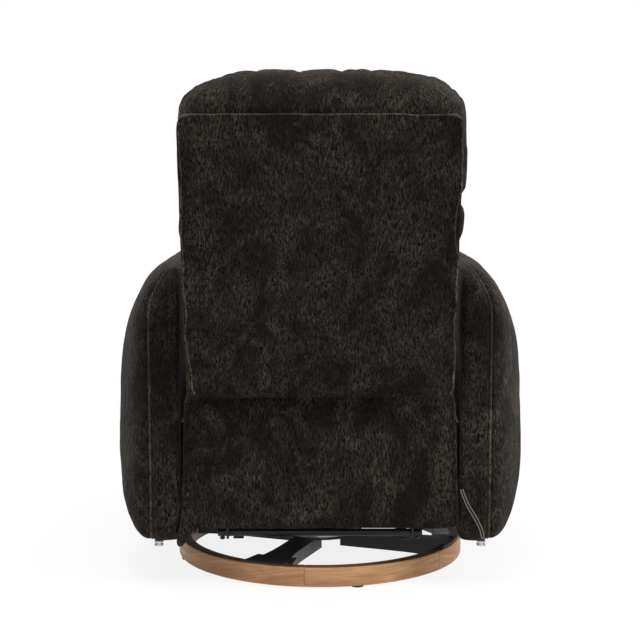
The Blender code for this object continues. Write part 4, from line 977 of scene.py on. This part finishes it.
def roll(name, low, high, half_width, front, rear, above, below, head):
    """A roll of the back between two heights. The frame sits in the rear of the head roll."""
    half = (half_width, (high - low) / 2, (front - rear) / 2)

    def shape(u, v, w, point):
        depth = -point.z - rear - half[2]
        height = point.y + (low + high) / 2
        x = point.x * (1 if head else flare_at(height)) - shift_at(height)
        if head and depth > -NOOK:
            inside = ease((NOOK_SIDE - abs(x)) / NOOK_EASE) * ease((NOOK_TOP - height) / NOOK_EASE)
            depth += (-NOOK - depth) * inside
        return on_back(x, height, depth)

    def rear_dome(u, v):
        return 6.0 if not head else 3.0 if v > 0 else 5.0

    def corner(u, v):
        return above if v > 0 else below

    return pillow(name, half, (60, 30, 22), corner, 2.9, rear_dome, shape, FABRIC)


def puffed_roll(made, low, high, wide, front, rear, head):
    """The roll is held at its rear and along the seams of its ends, and swells between them."""
    def held(p):
        height, depth = off_back(p)
        behind = ramped(depth, (-rear - 0.020, -rear - 0.008))
        if head:
            behind = max(behind, ramped(depth, (-0.098, -0.068)) * ramped(height, (0.45, 0.49)))
        side = abs(p.x + shift_at(height))
        sewn = 0.85 * ease(1 - abs(side - wide + ROLL_SEAM) / ROLL_SEAM_REACH)
        return max(behind, sewn * ramped(depth, (-rear - 0.030, -rear - 0.050)))

    def within(p):
        height, depth = off_back(p)
        shift = shift_at(height)
        room = wide * (1 if head else flare_at(height))
        x = soft_limit(p.x + shift, -room, room, 0.006) - shift
        height = soft_limit(height, low, high + (HEAD_ROOM if head else 0), 0.004)
        return on_back(x, height, max(depth, -front - 0.001))

    puffed(made, ROLL_VOXEL, ROLL_CAP, ROLL_GROWTH, held, within)


def back_rolls():
    for name, stands_for, low, high, wide, front, rear, above, below in ROLLS:
        head = name == "head_roll"

        def worn(p):
            """How much of the crinkles a point takes: little at the rear of the head roll."""
            depth = off_back(p)[1]
            return ramped(depth, (-0.042, -0.062)) * (0.25 if head and depth > -0.10 else 1)

        first_low = low + (0 if head else ROLL_SLACK / 3)
        first_high = high + ROLL_SLACK * (0.45 if head else -0.33)
        first_wide = wide - ROLL_SLACK * (0.2 if head else 0.7)
        made = roll(name, first_low, first_high, first_wide, front - ROLL_SLACK, rear, above, below, head)
        puffed_roll(made, low, high, wide, front, rear, head)
        crinkled(made, ((16, 16, 12, 0.0024, 1.7 + low), (55, 55, 30, 0.0008, 5.1 + low)), worn)
        whole(made, "back", "upholstery", stands_for, fill=0.7)


# Seat

ARM_SPACE = 0.262
SEAT_LOW, SEAT_HIGH = 0.3124, 0.4675
SEAT_FRONT, SEAT_REAR = -0.390, 0.182
SEAT_SIDE_GAP = 0.003        # to the arms
SEAT_SEAM_HIGH = 0.432
SEAT_SEAM_LOW = 0.338
SEAT_SEAM_REACH = 0.005
SEAT_SLACK = 0.008
SEAT_WAIST = 0.010           # share by which its sides are drawn in
SEAT_VOXEL = 0.0068
SEAT_CAP = 0.024
SEAT_GROWTH = 0.030
SEAT_CRINKLES = ((15, 15, 15, 0.0026, 2.2), (55, 55, 55, 0.0009, 7.7))
SEAT_WELT = 0.0021
SEAT_WELT_SINK = 0.0006


def seat_cushion():
    room = (ARM_SPACE - SEAT_SIDE_GAP, (SEAT_REAR - SEAT_FRONT) / 2, (SEAT_HIGH - SEAT_LOW) / 2)
    half = tuple(size - SEAT_SLACK / 2 for size in room)
    middle = Vector((0, (SEAT_FRONT + SEAT_REAR) / 2, (SEAT_HIGH + SEAT_LOW - SEAT_SLACK) / 2))

    def shape(u, v, w, point):
        if w < 0:
            point.z = max(point.z, -half[2])
        point.x *= 1 - SEAT_WAIST * (1 - v ** 2) * (1 - abs(w))
        return point + middle

    def held(p):
        under = ramped(p.z, (SEAT_LOW + 0.012, SEAT_LOW + 0.004))
        side = max(abs(p.x) / half[0], abs(p.y - middle.y) / half[1])
        upper = 0.9 * ease(1 - abs(p.z - SEAT_SEAM_HIGH) / SEAT_SEAM_REACH) * ramped(side, (0.93, 0.96))
        lower = ease(1 - abs(p.z - SEAT_SEAM_LOW) / SEAT_SEAM_REACH) * ramped(side, (0.90, 0.93))
        return max(under, upper, lower)

    def within(p):
        return Vector((soft_limit(p.x, -room[0], room[0], 0.004),
                       soft_limit(p.y, SEAT_FRONT, SEAT_REAR, 0.004),
                       min(max(p.z, SEAT_LOW), SEAT_HIGH + 0.004)))

    def between_arms(p):
        side = room[0] - SEAT_WELT - 0.0001
        return Vector((soft_limit(p.x, -side, side, 0.001), p.y, p.z))

    made = pillow("seat_pad", half, (60, 64, 16), lambda u, v: 9, 4.5, lambda u, v: 9, shape, FABRIC)
    puffed(made, SEAT_VOXEL, SEAT_CAP, SEAT_GROWTH, held, within)
    crinkled(made, SEAT_CRINKLES, lambda p: ramped(p.z, (SEAT_LOW, SEAT_LOW + 0.02)))
    whole(made, "seat", "upholstery", "seat_cushion", fill=0.75)
    for name, height in (("seat_welt_upper", SEAT_SEAM_HIGH), ("seat_welt_lower", SEAT_SEAM_LOW)):
        starts, ways = [], []
        for x, y in box_round(0.30, SEAT_FRONT - 0.04, SEAT_REAR + 0.04, 0.06, 320):
            starts.append((x, y, height))
            ways.append((soft_limit(x, -0.20, 0.20, 0.02) - x,
                         soft_limit(y, SEAT_FRONT + 0.06, SEAT_REAR - 0.06, 0.02) - y, 0))
        welt(name, made, starts, ways, SEAT_WELT_SINK, 5, SEAT_WELT, "seat", keep=between_arms)


FRONT_BANDS = (
    # name, x, height, half-width, half-height, divisions
    ("front_band", 0, 0.3000, 0.2612, 0.0118, (60, 6, 2)),
    ("front_band_left", 0.2492, 0.2450, 0.0122, 0.0430, (6, 20, 2)),
    ("front_band_right", -0.2492, 0.2450, 0.0122, 0.0430, (6, 20, 2)),
)
FRONT_BAND_Y = -0.3442
FRONT_BAND_HALF_DEPTH = 0.0017
FRONT_BAND_WAVE = 0.0005
# Which of a cloth's own axes runs along x, y and z, and its sign
FLAT = ((0, 1), (1, 1), (2, 1))
UPRIGHT = ((0, 1), (2, 1), (1, 1))
UPRIGHT_FORWARD = ((0, 1), (2, -1), (1, 1))


def patch_on(name, place, half, divisions, axes, material, body, corner=20):
    """A flat piece of cloth at a place, turned by its axes."""
    def shape(u, v, w, p):
        return Vector(place) + Vector([p[axis] * sign for axis, sign in axes])

    whole(sheet(name, half, divisions, shape, material, corner), body, "upholstery")


def front_band():
    """Cloth round the front of the seat frame, below the cushion."""
    for name, x, z, wide, tall, divisions in FRONT_BANDS:
        def shape(u, v, w, point):
            wave = FRONT_BAND_WAVE * noise.noise(Vector((point.x * 40, point.y * 40, 3.3)))
            return Vector((x + point.x, FRONT_BAND_Y - point.z - (wave if w > 0 else 0), z + point.y))

        made = pillow(name, (wide, tall, FRONT_BAND_HALF_DEPTH), divisions,
                      lambda u, v: 14, 3, lambda u, v: 12, shape, LINING)
        whole(made, "seat", "upholstery")
    for side, sign in SIDES:
        patch_on(f"rail_top_{side}", (sign * 0.2310, -0.3213, 0.3127), (0.0305, 0.0215, 0.0007), (8, 6, 4),
                 FLAT, LINING, "seat")


LOWER_NEAR, LOWER_FAR = 0.2528, 0.2800     # y of the lower rear panel's faces
LOWER_LOW, LOWER_HIGH = 0.114, 0.385
LOWER_FOOT_HALF = 0.2617
LOWER_TAPER = 0.010
LOWER_CORNER = (0.0050, 0.033)             # how far in its upper corners are, and over what height
LOWER_SWELL = 0.0016
LOWER_CRINKLES = ((12, 12, 7, 0.0020, 6.4), (48, 48, 22, 0.0008, 1.3))
HANG_FROM = (0.238, 0.252)                 # x between which its left corner begins to hang
HANG_RISE = 0.050
HANG_THIN = 0.80
HANG_OUT, HANG_REAR, HANG_DOWN = 0.0105, 0.0168, 0.036
LOWER_WELT = 0.0021
LOWER_WELT_SINK = 0.0030
LOWER_WELT_WOBBLE = 0.0008
LOWER_WELT_STARTS = (0.052, 0.008)         # above its lower edge, left and right


def lower_half_width(z):
    """Half the width of the lower rear panel, drawn in at its upper corners."""
    inward, height = LOWER_CORNER
    taper = LOWER_TAPER * (z - LOWER_LOW) / (LOWER_HIGH - LOWER_LOW)
    return LOWER_FOOT_HALF - taper - inward * ramped(z, (LOWER_HIGH - height, LOWER_HIGH))


def lower_back():
    half = (1, (LOWER_HIGH - LOWER_LOW) / 2, (LOWER_FAR - LOWER_NEAR) / 2)

    def shape(u, v, w, point):
        z = point.y + (LOWER_LOW + LOWER_HIGH) / 2
        swell = LOWER_SWELL * (1 - u ** 2) * (1 - v ** 2) if w > 0 else 0
        x = point.x * lower_half_width(z)
        hang = ramped(x, HANG_FROM) * ramped(z, (LOWER_LOW + HANG_RISE, LOWER_LOW))
        y = (LOWER_NEAR + LOWER_FAR) / 2 + point.z * (1 - HANG_THIN * hang) + swell
        return Vector((x + HANG_OUT * hang ** 2, y + HANG_REAR * ease(hang * 1.6), z - HANG_DOWN * hang))

    made = pillow("lower_back", half, (64, 62, 14), lambda u, v: 26, 7, lambda u, v: 14, shape, FABRIC)
    crinkled(made, LOWER_CRINKLES, lambda p: ramped(p.y, (0.262, 0.272)))
    whole(made, "seat", "upholstery", "lower_back_panel")
    for (side, sign), start in zip(SIDES, LOWER_WELT_STARTS):
        route = []
        for z in between(LOWER_LOW + start, LOWER_HIGH - 0.008, 60):
            wobble = LOWER_WELT_WOBBLE * noise.noise(Vector((sign * 3.0, z * 26, 1.1)))
            route.append(Vector((sign * (lower_half_width(z) - LOWER_WELT_SINK),
                                 LOWER_FAR - LOWER_WELT_SINK + wobble, z)))
        whole(tube(f"lower_back_welt_{side}", route, LOWER_WELT, FABRIC), "seat", "upholstery")


# Arms

ARM_FRONT, ARM_REAR = -0.386, 0.278
ARM_BOTTOM, ARM_TOP = 0.084, 0.606
ARM_MIDDLE = ((ARM_FRONT + ARM_REAR) / 2, (ARM_BOTTOM + ARM_TOP) / 2)
ARM_CORNERS = (0.050, 0.030, 0.095, 0.110)   # radii: front foot, rear foot, rear top, front top
ARM_INNER = ARM_SPACE + 0.0002
ARM_INNER_SHARES = (0.04, 0.2, 0.36, 0.52, 0.68, 0.82, 0.92)
ARM_SEAM, ARM_TOP_SEAM = 0.3185, 0.282
ARM_SEAM_RISE = 0.085
ARM_HALF_SEAM = 0.004
ARM_SEAM_DIP = 0.0035
ARM_HALF_WIDTH = 0.400
ARM_EDGE = 0.008
ARM_EDGE_STEPS = 4
ARM_BAND_STEPS = 7
DOME_STEPS = 34
DOME_END = 0.985             # share of a quarter turn where the dome's rounds end
DOME_POWER = 2.25
DOME_FOOT_POWER = 1.3
DOME_SINK = 0.0015
ARM_LEAN = 0.010
ARM_FALL = 0.009             # of its top toward the front
ARM_FALLS = (0.16, -0.34)
ARM_EASED = 0.005            # of its top at the inner edge
ARM_EASED_WIDTH = 0.020
ARM_HIGH = (0.40, 0.59)      # heights between which both set in
ARM_VOXEL = 0.0068
ARM_GROOVE = (0.0085, 0.0030)
ARM_WELT = 0.0023
ARM_WELT_SINK = -0.0006
ARM_WELT_INSET = 0.0006


def arm_outline(count):
    spots = ((ARM_FRONT, ARM_BOTTOM), (ARM_REAR, ARM_BOTTOM), (ARM_REAR, ARM_TOP), (ARM_FRONT, ARM_TOP))
    corners = [(*spot, radius) for spot, radius in zip(spots, ARM_CORNERS)]
    return evenly(rounded(corners, 24), count)


def upper_share(z):
    """From -1 at the arm's foot to 1 at its top."""
    return (z - ARM_BOTTOM) / (ARM_TOP - ARM_BOTTOM) * 2 - 1


def seam_at(z):
    part = min(1, max(0, (z - ARM_TOP + ARM_SEAM_RISE) / ARM_SEAM_RISE))
    return ARM_SEAM - (ARM_SEAM - ARM_TOP_SEAM) * part ** 2


def dome_at(z, share):
    """How far out the arm's outer panel lies, at a height and a share of the way to its edge."""
    part = max(0, -upper_share(z))
    rise = (1 - share ** (DOME_POWER + DOME_FOOT_POWER * part)) ** 0.5
    lean = ARM_LEAN * max(0, upper_share(z)) ** 2
    return seam_at(z) + (ARM_HALF_WIDTH - lean - seam_at(z)) * rise


def arm_slope(point):
    """The arm's top falls a little toward the front, and its inner edge is rounded over."""
    over = ramped(abs(point.x), (ARM_SPACE + ARM_EASED_WIDTH, ARM_SPACE))
    drop = ARM_FALL * ramped(point.y, ARM_FALLS) + ARM_EASED * over
    point.z -= ramped(point.z, ARM_HIGH) * drop
    return point


def arm_point(spot, share, x):
    """A point at a share of the way from the arm's middle to its outline, more oval inward."""
    half = (ARM_MIDDLE[0] - ARM_FRONT, ARM_MIDDLE[1] - ARM_BOTTOM)
    y, z = spot[0] - ARM_MIDDLE[0], spot[1] - ARM_MIDDLE[1]
    turn_by = math.atan2(z / half[1], y / half[0])
    oval = (half[0] * math.cos(turn_by), half[1] * math.sin(turn_by))
    blend = 1 - share
    return arm_slope(Vector((x, ARM_MIDDLE[0] + share * (y + (oval[0] - y) * blend),
                             ARM_MIDDLE[1] + share * (z + (oval[1] - z) * blend))))


def arm_cover():
    """The left arm's cover: inner face, inner edge, band up to the seam, and outer dome."""
    outline = arm_outline(200)
    reach = ARM_MIDDLE[1] - ARM_BOTTOM
    band_start = ARM_SPACE + ARM_EDGE

    def ring(share, out_at):
        return [arm_point(p, share, out_at(p[1])) for p in outline]

    rings = [ring(share, lambda z: ARM_INNER) for share in ARM_INNER_SHARES]
    for k in range(ARM_EDGE_STEPS + 1):
        turn = math.pi / 2 * k / ARM_EDGE_STEPS
        rings.append(ring(1 - ARM_EDGE * (1 - math.sin(turn)) / reach,
                          lambda z: ARM_INNER + ARM_EDGE * (1 - math.cos(turn))))
    for k in range(1, ARM_BAND_STEPS + 1):
        rings.append(ring(1, lambda z: band_start
                          + (seam_at(z) - ARM_HALF_SEAM - band_start) * k / ARM_BAND_STEPS))
    rings.append(ring(1 - ARM_SEAM_DIP / reach, seam_at))
    for k in range(1, DOME_STEPS + 1):
        share = math.cos(math.pi / 2 * DOME_END * k / DOME_STEPS)
        rings.append(ring(share * (1 - DOME_SINK / reach), lambda z: dome_at(z, share)))
    return loft(rings)


def grooved(item, route, reach, depth):
    """Press a groove into the surface along a line, reach to each side of it."""
    tree = KDTree(len(route))
    for k, p in enumerate(route):
        tree.insert(p, k)
    tree.balance()
    mesh = item.data
    normals = [v.normal.copy() for v in mesh.vertices]
    for spot, normal in zip(mesh.vertices, normals):
        _, _, far = tree.find(spot.co)
        if far < reach:
            spot.co = spot.co - normal * depth * ease(1 - far / reach)
    mesh.update()


def arms():
    first = item_from("arm_cover_left", *arm_cover(), FABRIC)
    remeshed(first, ARM_VOXEL)
    relaxed(first, 3)
    subdivided(first)
    starts, ways = [], []
    for p in evenly(arm_outline(400), 700):
        away = Vector((0, p.x - ARM_MIDDLE[0], p.y - ARM_MIDDLE[1]))
        starts.append(arm_point(p, 1, seam_at(p.y) - ARM_WELT_INSET) + away.normalized() * 0.03)
        ways.append(-away)
    grooved(first, softened(seam_route(first, starts, ways, 0.0), 6, True), *ARM_GROOVE)
    mirrored = [(-v.co.x, v.co.y, v.co.z) for v in first.data.vertices]
    sides = [tuple(f.vertices) for f in first.data.polygons]
    second = item_from("arm_cover_right", mirrored, sides, FABRIC)
    for made, (side, sign) in zip((first, second), SIDES):
        crinkled(made, ((13, 13, 9, 0.0030, 4.4 + sign), (45, 45, 26, 0.0010, 9.6 + sign)),
                 lambda p: ramped(abs(p.x), (ARM_SPACE, ARM_SPACE + 0.012)))
        whole(made, "seat", "upholstery", f"arm_{side}", fill=0.6)
        on_side = [Vector((sign * p.x, p.y, p.z)) for p in starts]
        welt(f"arm_welt_{side}", made, on_side, ways, ARM_WELT_SINK, 5, ARM_WELT, "seat")
    for side, sign in SIDES:
        patch_on(f"rail_end_{side}", (sign * 0.2492, 0.2532, 0.2576), (0.0126, 0.0562, 0.0006), (4, 12, 4),
                 UPRIGHT, LINING, "seat")


# Footrest

FOOT_LOW, FOOT_HIGH = 0.0995, 0.3035
FOOT_MIDDLE = (FOOT_LOW + FOOT_HIGH) / 2
FOOT_FRONT, FOOT_REAR = -0.4110, -0.3655
FOOT_HALF_WIDTH = 0.2545
FOOT_SLACK = 0.006
FOOT_SEAM = FOOT_REAR - 0.022
FOOT_VOXEL = 0.0058
FOOT_CAP = 0.020
FOOT_GROWTH = 0.030
FOOT_CRINKLES = ((15, 15, 12, 0.0020, 3.3), (55, 55, 30, 0.0008, 6.7))
FOOT_WELT = 0.0019
FOOT_WELT_SINK = 0.0008
FOOT_BOXING_OUTER = (0.2470, 0.1030, 0.3000, 0.006)    # half-width, low, high and corner
FOOT_BOXING_INNER = (0.2453, 0.1047, 0.2983, 0.0045)
FOOT_BOXING_ENDS = (-0.3690, -0.3498)
FOOT_COVER_Y = -0.36565
FOOT_COVER_HALF = (0.2458, 0.0970, 0.0005)


def foot_pad():
    half = (FOOT_HALF_WIDTH - FOOT_SLACK / 2, (FOOT_HIGH - FOOT_LOW - FOOT_SLACK) / 2,
            (FOOT_REAR - FOOT_FRONT - FOOT_SLACK) / 2)

    def shape(u, v, w, point):
        return Vector((point.x, (FOOT_FRONT + FOOT_SLACK + FOOT_REAR) / 2 - point.z, FOOT_MIDDLE + point.y))

    def held(p):
        behind = ramped(p.y, (FOOT_REAR - 0.014, FOOT_REAR - 0.006))
        side = max(abs(p.x) / half[0], abs(p.z - FOOT_MIDDLE) / half[1])
        return max(behind, 0.8 * ease(1 - abs(p.y - FOOT_SEAM) / 0.005) * ramped(side, (0.90, 0.93)))

    def within(p):
        return Vector((soft_limit(p.x, -FOOT_HALF_WIDTH - 0.001, FOOT_HALF_WIDTH + 0.001, 0.004),
                       max(p.y, FOOT_FRONT - 0.006),
                       soft_limit(p.z, FOOT_LOW - 0.001, FOOT_HIGH + 0.001, 0.003)))

    made = pillow("foot_pad", half, (60, 28, 10), lambda u, v: 7, 3.4, lambda u, v: 9, shape, FABRIC)
    puffed(made, FOOT_VOXEL, FOOT_CAP, FOOT_GROWTH, held, within)
    crinkled(made, FOOT_CRINKLES, lambda p: ramped(p.y, (FOOT_REAR, FOOT_REAR - 0.012)))
    whole(made, "footrest", "upholstery", "footrest_pad", fill=0.7)
    starts, ways = [], []
    for x, z in box_round(0.30, 0.06, 0.34, 0.05, 300):
        starts.append((x, FOOT_SEAM, z))
        ways.append((soft_limit(x, -0.21, 0.21, 0.02) - x, 0,
                     soft_limit(z, FOOT_MIDDLE - 0.06, FOOT_MIDDLE + 0.06, 0.02) - z))
    welt("foot_pad_welt", made, starts, ways, FOOT_WELT_SINK, 5, FOOT_WELT, "footrest")


def foot_boxing():
    """Cloth round the edges of the footrest board."""
    outer = box_round(*FOOT_BOXING_OUTER, 200, 4)
    inner = box_round(*FOOT_BOXING_INNER, 200, 4)
    made = band("foot_boxing", outer, inner, FOOT_BOXING_ENDS, lambda x, z, y: Vector((x, y, z)), FABRIC,
                True)
    whole(made, "footrest", "upholstery")
    patch_on("foot_cover", (0, FOOT_COVER_Y, FOOT_MIDDLE), FOOT_COVER_HALF, (30, 12, 2),
             UPRIGHT_FORWARD, FABRIC, "footrest", corner=30)


CROSS_ANGLE = 69             # degrees, of its first foot
SCREW_CIRCLE = 0.2725
SCREW_SPREAD = 0.034
SCREW_SEAT = 0.0443
SCREW_SIDES = 20
SCREW_ROUNDS = ((0.0046, 0.0), (0.0046, 0.0006), (0.0040, 0.0014), (0.0028, 0.0020), (0.0012, 0.0023))


def foot_screws():
    """Two domed screws through each foot of the cross into the ring."""
    number = 0
    for foot in range(4):
        angle = math.radians(CROSS_ANGLE + 90 * foot)
        out = Vector((math.cos(angle), math.sin(angle), 0))
        along = Vector((-math.sin(angle), math.cos(angle), 0))
        for offset in (-SCREW_SPREAD, SCREW_SPREAD):
            number += 1
            centre = out * math.sqrt(SCREW_CIRCLE ** 2 - offset ** 2) + along * offset
            rings = []
            for radius, rise in SCREW_ROUNDS:
                turns = [math.tau * k / SCREW_SIDES for k in range(SCREW_SIDES)]
                rings.append([centre + Vector((radius * math.cos(turn), radius * math.sin(turn),
                                               SCREW_SEAT + rise)) for turn in turns])
            whole(item_from(f"base_screw_{number}", *loft(rings), SCREW), "base", "zinc_steel")


camera()
tie_cord()
studio()
finish_nodes()
floor_ring()
foot_screws()
outside_back()
back_lining()
back_rolls()
seat_cushion()
front_band()
lower_back()
arms()
foot_pad()
foot_boxing()
